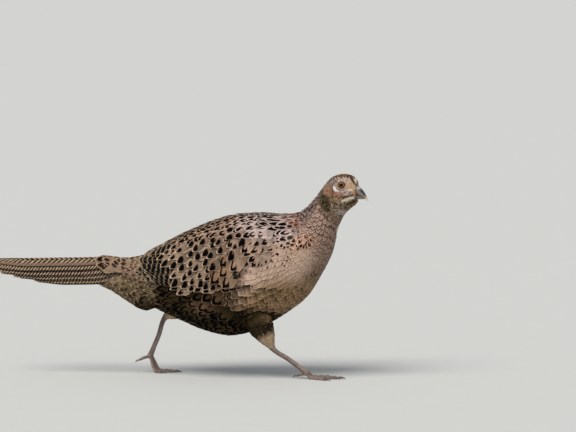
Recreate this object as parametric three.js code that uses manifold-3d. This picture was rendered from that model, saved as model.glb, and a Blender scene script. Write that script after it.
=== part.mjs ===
// A hen common pheasant at life size, walking, with its head turned a little to its right.
// Millimetres, +Z up, bill towards +X, right side towards -Y, feet on the plane z = 0.
import * as THREE from "three";
import { mergeVertices } from "three/addons/utils/BufferGeometryUtils.js";
import Module from "manifold-3d";

const wasm = await Module();
wasm.setup();

const V3 = THREE.Vector3;
const RAD = Math.PI / 180;

// Driving dimensions
const GAP = 0.3; // clearance between two pieces that touch
const HEAD_TURN = -16 * RAD; // the head's turn about the vertical, towards the right side
const NECK_PIVOT_X = 135; // where that vertical axis stands
const TURN_FROM = 9.5; // the section where the neck starts to turn
const TURN_TO = 14.5; // the section from which the whole head is turned
const NECK_CUT = 10; // the section where the neck meets the torso
const HEAD_CUT = 13.4; // the section where the head meets the neck
const ROUND_BODY = 24; // facets round the torso
const BODY_STEPS = 18; // facets along the torso
const NECK_STEPS = 6; // facets along the neck
const HEAD_STEPS = 12; // facets along the head
const ROUND_HEAD = 20; // facets round the neck and head
const HALVINGS = 26; // steps of a search by halving

// Cross-sections of the torso, neck and head, tail end first. Each lies in the plane through a point of the
// back line, a point of the belly line and the Y direction: back x and z, belly x and z, half width, the share
// of the way down where it is widest, and its fullness, where 2 is an ellipse.
const SECTIONS = [
  [-140, 160, -146, 128, 16, 0.48, 2.0],
  [-122, 170, -128, 106, 29, 0.48, 2.05],
  [-98, 184, -100, 92, 40, 0.49, 2.1],
  [-68, 200, -68, 78, 50, 0.5, 2.15],
  [-34, 215, -34, 64, 54, 0.52, 2.2],
  [4, 227, 4, 57.5, 56, 0.53, 2.2],
  [40, 230, 44, 69, 57, 0.52, 2.2],
  [68, 229, 82, 91, 56, 0.52, 2.15],
  [86, 229, 110, 114, 51, 0.52, 2.1],
  [97, 231, 130, 146, 43, 0.5, 2.05],
  [105, 236, 143, 173, 33.5, 0.5, 2.0],
  [112, 243, 148.5, 194, 26, 0.5, 2.0],
  [119, 251, 151.6, 208.5, 22, 0.5, 2.0],
  [126, 259.5, 155.6, 217.8, 20, 0.5, 2.0],
  [134, 270, 161, 227.6, 17.6, 0.5, 2.1],
  [144.2, 280.6, 167, 234, 16.6, 0.5, 2.15],
  [157.3, 285.2, 172.6, 238.6, 14.6, 0.48, 2.15],
  [170.5, 284.6, 177.6, 242.4, 11.6, 0.46, 2.1],
  [180.2, 279, 181.6, 245.4, 8.4, 0.46, 2.05],
  [185.4, 271, 184, 248.4, 5.4, 0.46, 2.0],
];
const LAST_SECTION = SECTIONS.length - 1;

function clamp(value, low, high) {
  return Math.min(high, Math.max(low, value));
}

function smoothstep(value, low, high) {
  const f = clamp((value - low) / (high - low), 0, 1);
  return f * f * (3 - 2 * f);
}

// The height of a smooth line at a place, through points of place and height in rising order of place.
function lineAt(points, place) {
  const curve = new THREE.SplineCurve(points.map(([u, v]) => new THREE.Vector2(u, v)));
  let low = 0;
  let high = 1;
  for (let i = 0; i < HALVINGS; i += 1) {
    const mid = (low + high) / 2;
    if (curve.getPoint(mid).x < place) low = mid;
    else high = mid;
  }
  return curve.getPoint(low).y;
}

// The cross-section at a fractional place, by a Catmull-Rom curve through the stated ones.
function section(place) {
  const k = clamp(Math.floor(place), 0, LAST_SECTION - 1);
  const f = place - k;
  const b = SECTIONS[k];
  const c = SECTIONS[k + 1];
  const a = SECTIONS[k - 1] ?? b.map((v, j) => 2 * v - c[j]);
  const d = SECTIONS[k + 2] ?? c.map((v, j) => 2 * v - b[j]);
  return b.map((v, j) => {
    const slope = (c[j] - a[j]) / 2;
    const next = (d[j] - v) / 2;
    const step = c[j] - v;
    return v + f * (slope + f * (3 * step - 2 * slope - next + f * (slope + next - 2 * step)));
  });
}

// Turns a point about the neck's vertical axis by a share of the head's turn.
function turned(point, share = 1) {
  return point
    .sub(new V3(NECK_PIVOT_X, 0, 0))
    .applyAxisAngle(new V3(0, 0, 1), HEAD_TURN * share)
    .add(new V3(NECK_PIVOT_X, 0, 0));
}

// A point of the outer surface before the head's turn, from a section's back line round to its belly line.
function rawSkin(place, angle) {
  const [bx, bz, vx, vz, half, widest, full] = section(place);
  const c = Math.cos(angle);
  const s = Math.sin(angle);
  const bend = Math.abs(c) ** (2 / full);
  const down = c > 0 ? widest * (1 - bend) : widest + (1 - widest) * bend;
  const out = half * Math.sign(s) * Math.abs(s) ** (2 / full);
  return new V3(bx + (vx - bx) * down, out, bz + (vz - bz) * down);
}

// A point of the bird's outer surface: angle 0 is the back line, a quarter turn the left side, half a turn the
// belly line. rise lifts it off the surface along the normal.
function skin(place, angle, rise = 0) {
  const p = rawSkin(place, angle);
  if (rise !== 0) {
    const e = 0.02;
    const along = rawSkin(place + e, angle).sub(rawSkin(place - e, angle));
    const round = rawSkin(place, angle + e).sub(rawSkin(place, angle - e));
    p.addScaledVector(along.cross(round).normalize(), rise);
  }
  return turned(p, smoothstep(place, TURN_FROM, TURN_TO));
}

// Half the width of the surface at the point (x, z) of the side view, before the head's turn, between two
// sections.
function halfWidth(x, z, from, to) {
  let low = from;
  let high = to;
  for (let i = 0; i < HALVINGS; i += 1) {
    const mid = (low + high) / 2;
    const [bx, bz, vx, vz] = section(mid);
    const ahead = (x - bx) * (bz - vz) - (bz - z) * (vx - bx);
    if (ahead > 0) low = mid;
    else high = mid;
  }
  const [bx, bz, vx, vz, half, widest, full] = section(low);
  const down = clamp(((x - bx) * (vx - bx) + (z - bz) * (vz - bz)) / ((vx - bx) ** 2 + (vz - bz) ** 2), 0, 1);
  const height = down < widest ? 1 - down / widest : (down - widest) / (1 - widest);
  const c = Math.min(1, height) ** (full / 2);
  return half * Math.sqrt(1 - c * c) ** (2 / full);
}

// A point lifted off the torso's side at (x, z) of the side view. hand is 1 on the left and -1 on the right.
function flank(x, z, rise, hand) {
  const wide = (u, v) => halfWidth(u, v, 0, NECK_CUT);
  const slopeX = (wide(x + 1, z) - wide(x - 1, z)) / 2;
  const slopeZ = (wide(x, z + 1) - wide(x, z - 1)) / 2;
  const out = new V3(-slopeX, 1, -slopeZ).normalize();
  const p = new V3(x, wide(x, z), z).addScaledVector(out, rise);
  p.y *= hand;
  return p;
}

// How far the side of the head lies from its own middle plane at (x, z) of the side view.
function cheek(x, z) {
  return halfWidth(x, z, HEAD_CUT, LAST_SECTION);
}

// Geometry helpers

function indexed(points, faces) {
  const geometry = new THREE.BufferGeometry();
  geometry.setAttribute("position", new THREE.Float32BufferAttribute(points.flatMap((p) => p.toArray()), 3));
  geometry.setIndex(faces);
  return geometry;
}

// A closed surface through rings of equally many points, with a flat fan on each end.
function loft(rings) {
  const round = rings[0].length;
  const points = rings.flat();
  const faces = [];
  for (let i = 0; i + 1 < rings.length; i += 1) {
    for (let j = 0; j < round; j += 1) {
      const a = i * round + j;
      const b = i * round + ((j + 1) % round);
      faces.push(a, b, a + round, b, b + round, a + round);
    }
  }
  for (const [ring, first] of [[rings[0], 0], [rings.at(-1), (rings.length - 1) * round]]) {
    const middle = points.length;
    points.push(ring.reduce((sum, p) => sum.add(p), new V3()).divideScalar(round));
    for (let j = 0; j < round; j += 1) {
      const edge = [first + j, first + ((j + 1) % round)];
      if (first === 0) edge.reverse();
      faces.push(...edge, middle);
    }
  }
  return indexed(points, faces);
}

// A closed plate between two alike grids of points, split into triangles alike on both faces.
function plate(top, bottom) {
  const rows = top.length;
  const columns = top[0].length;
  const points = [...top.flat(), ...bottom.flat()];
  const under = rows * columns;
  const faces = [];
  for (let i = 0; i + 1 < rows; i += 1) {
    for (let j = 0; j + 1 < columns; j += 1) {
      const a = i * columns + j;
      const quad = [a, a + 1, a + columns, a + 1, a + columns + 1, a + columns];
      faces.push(...quad);
      faces.push(...quad.map((v) => v + under).reverse());
    }
  }
  const rim = [];
  for (let j = 0; j < columns - 1; j += 1) rim.push(j);
  for (let i = 0; i < rows - 1; i += 1) rim.push(i * columns + columns - 1);
  for (let j = columns - 1; j > 0; j -= 1) rim.push((rows - 1) * columns + j);
  for (let i = rows - 1; i > 0; i -= 1) rim.push(i * columns);
  rim.forEach((a, k) => {
    const b = rim[(k + 1) % rim.length];
    faces.push(b, a, a + under, b, a + under, b + under);
  });
  return indexed(points, faces);
}

// A geometry as a solid that can be joined and cut, with its faces turned outwards.
function solid(geometry) {
  const bare = geometry.clone();
  bare.deleteAttribute("normal");
  bare.deleteAttribute("uv");
  const merged = mergeVertices(bare, 1e-4);
  const triVerts = new Uint32Array(merged.index.array);
  const vertProperties = new Float32Array(merged.attributes.position.array);
  const made = new wasm.Manifold(new wasm.Mesh({ numProp: 3, vertProperties, triVerts }));
  if (made.volume() > 0) return made;
  return new wasm.Manifold(new wasm.Mesh({ numProp: 3, vertProperties, triVerts: triVerts.reverse() }));
}

function joined(solids) {
  return wasm.Manifold.union(solids);
}

const bird = new THREE.Group();

// Adds the largest closed surface of a solid, as a mesh of the given name and finish.
function addPiece(name, made, material) {
  const bodies = made.decompose().sort((a, b) => b.volume() - a.volume());
  const mesh = bodies[0].getMesh();
  const geometry = new THREE.BufferGeometry();
  geometry.setAttribute("position", new THREE.BufferAttribute(new Float32Array(mesh.vertProperties), 3));
  geometry.setIndex(new THREE.BufferAttribute(new Uint32Array(mesh.triVerts), 1));
  geometry.computeVertexNormals();
  const piece = new THREE.Mesh(geometry, material);
  piece.name = name;
  bird.add(piece);
}

function finish(color, roughness) {
  return new THREE.MeshStandardMaterial({ color, roughness, metalness: 0 });
}

const FINISH = {
  body: finish(0x9c8069, 0.85),
  wing: finish(0x8a6f58, 0.8),
  tail: finish(0x7d644f, 0.8),
  head: finish(0xa58d78, 0.85),
  bill: finish(0x8d857c, 0.45),
  eye: finish(0x5a3a1c, 0.12),
  leg: finish(0x8b7d74, 0.6),
  claw: finish(0x4a4038, 0.5),
};

// Torso, neck and head core: one surface, parted by thin flat cuts

// Rings of the outer surface from one section to another. The end rings are drawn in by half a gap, or out
// again by what the whole surface is lifted.
function bodyRings(from, to, steps, round, rise) {
  const rings = [];
  for (let i = 0; i <= steps; i += 1) {
    const place = from + ((to - from) * i) / steps;
    const ring = [];
    for (let j = 0; j < round; j += 1) ring.push(skin(place, (2 * Math.PI * j) / round, rise));
    rings.push(ring);
  }
  const drawIn = (ring, inward) => {
    const across = ring[0].clone().sub(ring[round / 2]);
    const wide = ring[round / 4].clone().sub(ring[(3 * round) / 4]);
    const normal = across.cross(wide).normalize();
    if (normal.dot(inward) < 0) normal.negate();
    ring.forEach((p) => p.addScaledVector(normal, GAP / 2 - rise));
  };
  const towards = rings[1][0].clone().sub(rings[0][0]);
  const back = rings.at(-2)[0].clone().sub(rings.at(-1)[0]);
  drawIn(rings[0], towards);
  drawIn(rings.at(-1), back);
  return rings;
}

const torso = solid(loft(bodyRings(0, NECK_CUT, BODY_STEPS, ROUND_BODY, 0)));
const torsoClear = solid(loft(bodyRings(0, NECK_CUT, BODY_STEPS, ROUND_BODY, GAP)));
const neck = solid(loft(bodyRings(NECK_CUT, HEAD_CUT, NECK_STEPS, ROUND_HEAD, 0)));
const headCore = solid(loft(bodyRings(HEAD_CUT, LAST_SECTION, HEAD_STEPS, ROUND_HEAD, 0)));

addPiece("torso", torso, FINISH.body);
addPiece("neck", neck, FINISH.body);

// Bill

// Sections of each half: top x and z, bottom x and z, half width.
const UPPER_BILL = [
  [181, 271.4, 176, 260, 6],
  [187.4, 265.9, 182, 257.2, 5.2],
  [190.9, 262, 186.6, 255, 4.2],
  [193.8, 257.8, 190.4, 253.2, 2.9],
  [196, 253.2, 194, 250.8, 1.6],
  [197.5, 248.7, 196.7, 248, 0.6],
];
const LOWER_BILL = [
  [176, 259, 177.5, 248.6, 5.6],
  [182, 256.6, 182.6, 250.8, 4.6],
  [187.4, 254.4, 187.8, 250.9, 3.3],
  [192, 252.6, 192.2, 251.2, 1.6],
];
const ROUND_BILL = 12;

// One half of the bill, lifted off its surface all round by rise.
function billHalf(sections, rise) {
  const rings = sections.map(([tx, tz, bx, bz, half]) => {
    const middle = new V3((tx + bx) / 2, 0, (tz + bz) / 2);
    const up = new V3(tx, 0, tz).sub(middle);
    const tall = up.length() + rise;
    up.normalize();
    const ring = [];
    for (let j = 0; j < ROUND_BILL; j += 1) {
      const angle = (2 * Math.PI * j) / ROUND_BILL;
      const p = middle.clone().addScaledVector(up, tall * Math.cos(angle));
      p.y = (half + rise) * Math.sin(angle);
      ring.push(turned(p));
    }
    return ring;
  });
  return solid(loft(rings));
}

// Nostrils: two slots in the sides of the upper bill.
const NOSTRIL = { x: 186, z: 262.2, side: 5.4, length: 2.3, height: 0.75, depth: 1.5, slope: 0.8 };

// Places a geometry made round the origin at (x, z) of the head's side view, so far out from its middle plane.
function onHead(geometry, x, out, z) {
  geometry.rotateZ(HEAD_TURN);
  const at = turned(new V3(x, out, z));
  return geometry.translate(at.x, at.y, at.z);
}

function nostril(hand) {
  const slot = new THREE.SphereGeometry(1, 10, 6);
  slot.scale(NOSTRIL.length, NOSTRIL.depth, NOSTRIL.height);
  slot.rotateY(NOSTRIL.slope);
  return solid(onHead(slot, NOSTRIL.x, NOSTRIL.side * hand, NOSTRIL.z));
}

const upperBill = billHalf(UPPER_BILL, 0).subtract(joined([nostril(1), nostril(-1)]));
const lowerBill = billHalf(LOWER_BILL, 0).subtract(billHalf(UPPER_BILL, GAP));
const billClear = joined([billHalf(UPPER_BILL, GAP), billHalf(LOWER_BILL, GAP)]);

addPiece("bill_upper", upperBill, FINISH.bill);
addPiece("bill_lower", lowerBill, FINISH.bill);

// Eyes, lids and the corner of the mouth

const EYE = { x: 162, z: 270, radius: 6.6, sink: 4.4, lean: 0.18 };
const LID = { radius: 5.7, tube: 1.1, rise: 0.2 };
const GAPE = { front: [181, 259.2], back: [169, 257.8], height: 0.6, depth: 2.2 };

const eyeSide = cheek(EYE.x, EYE.z);

// An eyeball, lifted off its surface all round by rise.
function eyeBall(hand, rise) {
  const ball = new THREE.SphereGeometry(EYE.radius + rise, 14, 8);
  return solid(onHead(ball, EYE.x, (eyeSide - EYE.sink) * hand, EYE.z));
}

// The ring of the two lids, leaning out with the side of the head.
function lidRing(hand) {
  const ring = new THREE.TorusGeometry(LID.radius, LID.tube, 5, 14);
  ring.rotateX(Math.PI / 2);
  ring.rotateZ(-EYE.lean * hand);
  return solid(onHead(ring, EYE.x, (eyeSide + LID.rise) * hand, EYE.z));
}

// The line of the mouth behind the bill, a slit in the cheek.
function gapeSlit(hand) {
  const [x0, z0] = GAPE.front;
  const [x1, z1] = GAPE.back;
  const slit = new THREE.BoxGeometry(Math.hypot(x1 - x0, z1 - z0), 2 * GAPE.depth, GAPE.height);
  slit.rotateY(-Math.atan2(z0 - z1, x0 - x1));
  slit.rotateZ(-Math.atan2(cheek(x1, z1) - cheek(x0, z0), x0 - x1) * hand);
  const out = (cheek(x0, z0) + cheek(x1, z1)) / 2;
  return solid(onHead(slit, (x0 + x1) / 2, out * hand, (z0 + z1) / 2));
}

const hands = [["right", -1], ["left", 1]];
const head = joined([headCore, lidRing(1), lidRing(-1)])
  .subtract(joined([eyeBall(1, GAP), eyeBall(-1, GAP), billClear, gapeSlit(1), gapeSlit(-1)]));
addPiece("head", head, FINISH.head);
for (const [side, hand] of hands) addPiece(`eye_${side}`, eyeBall(hand, 0), FINISH.eye);

// Feathers

// A stream of numbers from 0 to 1 that is the same at every run.
function randomFrom(seed) {
  let state = seed;
  return () => {
    state = (state + 0x6d2b79f5) | 0;
    let t = Math.imul(state ^ (state >>> 15), 1 | state);
    t = (t + Math.imul(t ^ (t >>> 7), 61 | t)) ^ t;
    return ((t ^ (t >>> 14)) >>> 0) / 4294967296;
  };
}

// The width of a feather along its length, as shares of its length and of its full width.
const LONG_VANE = [[0, 0.5], [0.25, 0.78], [0.5, 0.96], [0.75, 0.98], [0.92, 0.74], [1, 0.2]];
const BROAD_VANE = [[0, 0.5], [0.45, 0.96], [0.84, 0.86], [1, 0.26]];

// How a feather is built: thickness at its rachis and edges, the rachis's crest, and its lines along.
const QUILL = { thick: 0.7, edge: 0.55, crest: 0.2, across: [-1, 0, 1] };
const COVERT = { thick: 0.6, edge: 0.6, crest: 0, across: [-1, 1] };
const BENT_COVERT = { thick: 0.6, edge: 0.6, crest: 0, across: [-1, 0, 1] };

// One feather as a thin closed vane. place(along, across, rise) gives its points: along runs from the root, 0,
// to the tip, 1, across from one edge, -1, to the other, 1, and rise lifts off the surface below.
function vane(shape, build, place) {
  const face = (under) => shape.map(([along, wide]) => build.across.map((across) => {
    const middle = 1 - Math.abs(across);
    const crest = build.crest * (1 - along) * middle;
    const thick = build.edge + (build.thick - build.edge) * middle + crest;
    return place(along, across * wide, crest - (under ? thick : 0));
  }));
  return solid(plate(face(false), face(true)));
}

// Wings, folded along the flanks

// The tiers of a folded wing, in the side view in millimetres. Each runs from its uppermost feather to its
// lowest: root and tip points of both, the number of feathers, their width, the rise over the flank at root
// and tip, and how far each tilts over the next one down.
const WING_TIERS = {
  primaries: {
    shape: LONG_VANE, build: QUILL, count: 4, width: 15, rise: [1.5, 2.2], tilt: 0.7,
    root: [[-61, 153], [-37, 135]], tip: [[-126, 152], [-94, 129]],
  },
  secondaries: {
    shape: LONG_VANE, build: QUILL, count: 5, width: 18, rise: [2.6, 4.8], tilt: 1.5,
    root: [[-13, 157], [6, 135]], tip: [[-115, 157], [-58, 127]],
  },
  tertials: {
    shape: LONG_VANE, build: QUILL, count: 3, width: 23, rise: [2.4, 7], tilt: 1.5,
    root: [[-15, 178], [-9, 161]], tip: [[-105, 171], [-87, 153]],
  },
  greater: {
    shape: BROAD_VANE, build: COVERT, count: 4, width: 23, rise: [2.6, 7.4], tilt: 1.6,
    root: [[15, 176], [39, 140]], tip: [[-41, 171], [-12, 128]],
  },
  median: {
    shape: BROAD_VANE, build: COVERT, count: 4, width: 22, rise: [2.4, 8], tilt: 1.5,
    root: [[45, 186], [61, 148]], tip: [[-3, 184], [19, 135]],
  },
  lesser: {
    shape: BROAD_VANE, build: COVERT, count: 3, width: 24, rise: [2, 7.8], tilt: 1.4,
    root: [[73, 189], [76, 160]], tip: [[31, 191], [43, 150]],
  },
  scapulars: {
    shape: BROAD_VANE, build: COVERT, count: 4, width: 23, rise: [1.8, 7], tilt: 1.2,
    root: [[11, 203], [57, 197]], tip: [[-67, 189], [-7, 192]],
  },
};
const WING_SWING = 2; // how far a tip may stray from its place
const WING_BOW = 0.04; // how far a feather bends up at its middle, as a share of its length

// The flesh of the folded wing. Its upper and lower edges are heights by the share of the way back.
const WING_CORE = {
  front: 85,
  rear: -69,
  upper: [[0, 179], [0.12, 195], [0.36, 204], [0.7, 195], [1, 167]],
  lower: [[0, 166], [0.12, 148], [0.36, 135], [0.7, 135], [1, 150]],
  edge: 0.8, // its rise over the flank at its edges
  thick: 3, // how much higher its middle is
  sink: -1.5, // its inner face, inside the flank until it is cut clear
  rows: 8,
  columns: 4,
};

// A low leaf on the flank that the feathers are rooted in.
function wingCore(hand) {
  const { rows, columns } = WING_CORE;
  const face = (outer) => {
    const grid = [];
    for (let i = 0; i <= rows; i += 1) {
      const share = i / rows;
      const x = WING_CORE.front + (WING_CORE.rear - WING_CORE.front) * share;
      const top = lineAt(WING_CORE.upper, share);
      const low = lineAt(WING_CORE.lower, share);
      const row = [];
      for (let j = 0; j <= columns; j += 1) {
        const across = j / columns;
        const swell = Math.sin(Math.PI * across) ** 0.5 * Math.sin(Math.PI * clamp(share, 0.02, 0.98)) ** 0.4;
        const rise = outer ? WING_CORE.edge + WING_CORE.thick * swell : WING_CORE.sink;
        row.push(flank(x, low + (top - low) * across, rise, hand));
      }
      grid.push(row);
    }
    return grid;
  };
  return solid(plate(face(true), face(false)));
}

// The point at a share of the way between two points of the side view.
function between(pair, share) {
  return new THREE.Vector2(...pair[0]).lerp(new THREE.Vector2(...pair[1]), share);
}

// The vanes of one tier, from its uppermost to its lowest.
function wingTier(tier, hand, random) {
  const vanes = [];
  for (let i = 0; i < tier.count; i += 1) {
    const share = i / (tier.count - 1);
    const root = between(tier.root, share);
    const tip = between(tier.tip, share);
    tip.x += WING_SWING * (2 * random() - 1);
    const along = tip.clone().sub(root);
    const across = new THREE.Vector2(along.y, -along.x).normalize();
    const half = (tier.width / 2) * (0.94 + 0.12 * random());
    const [low, high] = tier.rise;
    vanes.push(vane(tier.shape, tier.build, (u, v, lift) => {
      const bow = WING_BOW * along.length() * Math.sin(Math.PI * u);
      const p = root.clone().addScaledVector(along, u).addScaledVector(across, v * half + bow);
      return flank(p.x, p.y, low + (high - low) * u - tier.tilt * v + lift, hand);
    }));
  }
  return vanes;
}

const WING_SEED = 11;

function wing(hand, seed) {
  const random = randomFrom(seed);
  const feathers = Object.values(WING_TIERS).flatMap((tier) => wingTier(tier, hand, random));
  return joined([wingCore(hand), ...feathers]).subtract(torsoClear);
}

for (const [side, hand] of hands) addPiece(`wing_${side}`, wing(hand, WING_SEED + hand), FINISH.wing);

// Tail

// The closed tail is a roof over the line of its ridge, in section a hyperbola. Lengths run back from the root.
// Shares run from the ridge, 0, to the lower edge, 1.
const TAIL = {
  rootX: -132,
  ridgeZ: 162,
  ridgeRise: 5, // how far the ridge climbs behind the root
  climb: 50, // the length over which it climbs
  droop: 0.022,
  halfWidth: 20,
  crowding: 0.6, // how much closer the feathers lie near the lower edge
  steepness: 2.2,
  ridgeRound: 13,
  fanned: 14, // the layers under the roof are set along lines that meet this far below it
  rootShare: 0.6, // how far the roof is open at its root
  openBy: 62, // the length by which it is fully open
  pairs: 9,
};

// A point of the tail: back from its root, a share down the roof and depth under it.
function tailPoint(back, share, depth) {
  const opening = Math.sin((Math.PI / 2) * clamp(back / TAIL.openBy, 0, 1));
  const open = TAIL.rootShare + (1 - TAIL.rootShare) * opening;
  const y = (TAIL.halfWidth * (1 + TAIL.crowding) * share) / (1 + TAIL.crowding * Math.abs(share));
  const far = Math.hypot(TAIL.ridgeRound, TAIL.steepness * y);
  const out = new THREE.Vector2(y / TAIL.fanned, 1).normalize();
  const ridge = TAIL.ridgeZ + TAIL.ridgeRise * smoothstep(back, 0, TAIL.climb) - TAIL.droop * back;
  const z = ridge - open * (far - TAIL.ridgeRound);
  return new V3(TAIL.rootX - back, open * y - depth * out.x, z - depth * out.y);
}

// The lengths of the tail's feathers from the middle pair outwards, by share of the pairs.
const TAIL_LENGTHS = [[0, 211], [0.12, 198], [0.3, 168], [0.5, 144], [0.75, 112], [1, 80]];
const TAIL_VANE = {
  first: 0.13, // the share where a feather of the middle pair lies
  last: 0.78, // the share where the outermost feather lies
  half: 0.23, // half a feather's width, as a share of the roof
  layer: 0.9, // from one feather to the next one under it
  root: 5, // where the feathers leave the rump
  inner: 0.03, // the share that no feather but the middle pair's reaches past
  spread: 0.05, // how far its two lines there stay apart, so that they never meet
};
const RUMP = { backs: [-4, 6, 16], columns: 10, over: 0.4 }; // the block that the tail feathers are rooted in
const TAIL_BUILD = { thick: 0.58, edge: 0.5, crest: 0, across: [-1, 0, 1] };
const RIDGE_BUILD = { thick: 0.58, edge: 0.5, crest: 0, across: [-1, -0.5, 0, 0.5, 1] };

// A patch of the roof with an even number of columns, from one depth to another.
function roofPatch(backs, reach, columns, over, under) {
  const face = (deep) => backs.map((back) => {
    const row = [];
    for (let j = 0; j <= columns; j += 1) {
      row.push(tailPoint(back, reach(back) * ((2 * j) / columns - 1), deep(back)));
    }
    return row;
  });
  return solid(plate(face(over), face(under)));
}

// One tail feather. rank counts the pairs from the middle, 0, and layer the feathers over it.
function tailFeather(rank, hand, layer, random) {
  const share = rank / (TAIL.pairs - 1);
  const length = lineAt(TAIL_LENGTHS, share) * (0.99 + 0.02 * random());
  const middle = TAIL_VANE.first + (TAIL_VANE.last - TAIL_VANE.first) * share;
  const inner = rank === 0 ? -1 : TAIL_VANE.inner;
  return vane(LONG_VANE, rank === 0 ? RIDGE_BUILD : TAIL_BUILD, (along, across, lift) => {
    const out = Math.max(inner + TAIL_VANE.spread * (across + 1), middle + across * TAIL_VANE.half);
    const back = TAIL_VANE.root + (length - TAIL_VANE.root) * along;
    return tailPoint(back, hand * out, layer * TAIL_VANE.layer - lift);
  });
}

const TAIL_SEED = 5;
const TAIL_DEPTH = (TAIL.pairs + 1) * TAIL_VANE.layer; // from the upper face of the roof to the lowest feather

function tail() {
  const random = randomFrom(TAIL_SEED);
  const feathers = [roofPatch(RUMP.backs, () => 1, RUMP.columns, () => -RUMP.over, () => TAIL_DEPTH)];
  for (let rank = 0; rank < TAIL.pairs; rank += 1) {
    for (const [, hand] of hands) {
      const layer = rank === 0 ? Number(hand < 0) : rank + 1;
      feathers.push(tailFeather(rank, hand, layer, random));
    }
  }
  return joined(feathers).subtract(torsoClear);
}

addPiece("tail", tail(), FINISH.tail);

// Coverts over and under the root of the tail

// The space that the tail fills, with a gap round it, for the pieces that lie over and under it.
const tailSpace = roofPatch(
  [-6, 8, 22, 36, 50, 68, 90],
  () => 1.12,
  12,
  () => -GAP - 0.5,
  () => TAIL_DEPTH + 1,
);

// From one covert to its neighbour, which lies over it.
const COVERT_STEP = 1;

// How far the coverts lie over the tail: a low rise behind, and the rump's own height in front.
function overTail(back) {
  return 1.2 + 7.5 * (1 - smoothstep(back, -30, 24));
}

// Tiers of the coverts over the tail, lowest first: root and tip behind the tail's root, number, the share of
// the roof that they spread over, half width as a share, and the rise at root and tip.
const UPPER_TIERS = [
  { from: 14, to: 74, count: 3, spread: 0.22, half: 0.19, rise: [-0.6, 0.2] },
  { from: 2, to: 50, count: 3, spread: 0.34, half: 0.23, rise: [-0.8, 1.6] },
  { from: -12, to: 26, count: 3, spread: 0.3, half: 0.24, rise: [-1, 2.2] },
];

const UPPER_SEED = 23;

function upperCoverts() {
  const random = randomFrom(UPPER_SEED);
  const core = roofPatch(
    [-26, -14, -2, 10, 22],
    (back) => 0.66 - 0.12 * smoothstep(back, 0, 22),
    8,
    (back) => -overTail(back) + 0.4,
    (back) => -GAP - 0.3 + 6 * (1 - smoothstep(back, -14, -2)),
  );
  const feathers = [core];
  for (const tier of UPPER_TIERS) {
    for (let i = 0; i < tier.count; i += 1) {
      const across = (2 * i) / (tier.count - 1) - 1;
      const length = (tier.to - tier.from) * (0.95 + 0.1 * random());
      feathers.push(vane(BROAD_VANE, BENT_COVERT, (along, v, lift) => {
        const back = tier.from + length * along;
        const share = tier.spread * across + tier.half * v;
        const rise = tier.rise[0] + (tier.rise[1] - tier.rise[0]) * along + (i % 2) * COVERT_STEP;
        return tailPoint(back, share, -overTail(back) - rise - lift);
      }));
    }
  }
  return joined(feathers).subtract(torsoClear);
}

addPiece("uppertail_coverts", upperCoverts(), FINISH.body);

// The soft wedge under the tail, by x: its top, its bottom and half its width.
const UNDER = {
  top: [[-106, 114], [-118, 124], [-130, 134], [-142, 141], [-154, 144], [-167, 143], [-180, 140], [-192, 136]],
  low: [[-106, 93], [-118, 91], [-130, 95], [-142, 102.5], [-154, 111], [-167, 118.5], [-180, 125], [-192, 130]],
  half: [[-106, 22], [-118, 24], [-130, 23], [-142, 20], [-154, 16.5], [-167, 12.5], [-180, 8.5], [-192, 4]],
};

const UNDER_SIDES = 10; // facets round the wedge's core
const UNDER_SINK = -2; // how far that core lies under the coverts

// A point of that wedge: angle 0 is its bottom line, and rise lifts off it.
function underPoint(x, angle, rise) {
  const lineOf = (points) => lineAt(points.map(([u, v]) => [-u, v]), -x);
  const top = lineOf(UNDER.top);
  const low = lineOf(UNDER.low);
  const half = lineOf(UNDER.half);
  const tall = (top - low) / 2;
  return new V3(x, (half + rise) * Math.sin(angle), (top + low) / 2 - (tall + rise) * Math.cos(angle));
}

// Tiers of the coverts under the tail, hindmost first.
const UNDER_TIERS = [
  { from: -148, to: -191, count: 3, spread: 0.7, half: 0.5, rise: [-2.8, -1.4] },
  { from: -132, to: -168, count: 3, spread: 0.9, half: 0.5, rise: [-2.8, -0.4] },
  { from: -114, to: -146, count: 3, spread: 0.9, half: 0.5, rise: [-2.8, 0.4] },
];

const UNDER_SEED = 31;

function underCoverts() {
  const random = randomFrom(UNDER_SEED);
  const rings = [-106, -118, -130, -142, -154, -166, -176].map((x) => {
    const ring = [];
    for (let j = 0; j < UNDER_SIDES; j += 1) {
      ring.push(underPoint(x, (2 * Math.PI * j) / UNDER_SIDES, UNDER_SINK));
    }
    return ring;
  });
  const feathers = [solid(loft(rings))];
  for (const tier of UNDER_TIERS) {
    for (let i = 0; i < tier.count; i += 1) {
      const across = (2 * i) / (tier.count - 1) - 1;
      const length = (tier.to - tier.from) * (0.95 + 0.1 * random());
      feathers.push(vane(BROAD_VANE, COVERT, (along, v, lift) => {
        const angle = tier.spread * across + tier.half * v;
        const rise = tier.rise[0] + (tier.rise[1] - tier.rise[0]) * along + (i % 2) * COVERT_STEP;
        return underPoint(tier.from + length * along, angle, rise + lift);
      }));
    }
  }
  return joined(feathers).subtract(joined([torsoClear, tailSpace]));
}

addPiece("undertail_coverts", underCoverts(), FINISH.body);

// Legs

const LEGS = {
  right: {
    hand: -1,
    hip: [36, -29, 92],
    heel: [61, -30, 44.6],
    knuckle: [111, -32, 8.5],
    reach: 9,
  },
  left: {
    hand: 1,
    hip: [-58, 27, 104],
    heel: [-93, 26, 80],
    knuckle: [-116, 24, 24],
    reach: 17,
  },
};
// Rings of the feathered leg: share of the way from hip to heel, half width and half depth.
const THIGH = [[0, 19, 23], [0.25, 18, 22], [0.5, 14.5, 17.5], [0.72, 10, 12], [0.88, 6.8, 7.6], [0.97, 4.6, 5]];
const ROUND_THIGH = 14;
const SHANK = { wide: 2.9, deep: 3.2, step: 0.4, scutes: 9, sides: 8 };

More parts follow.
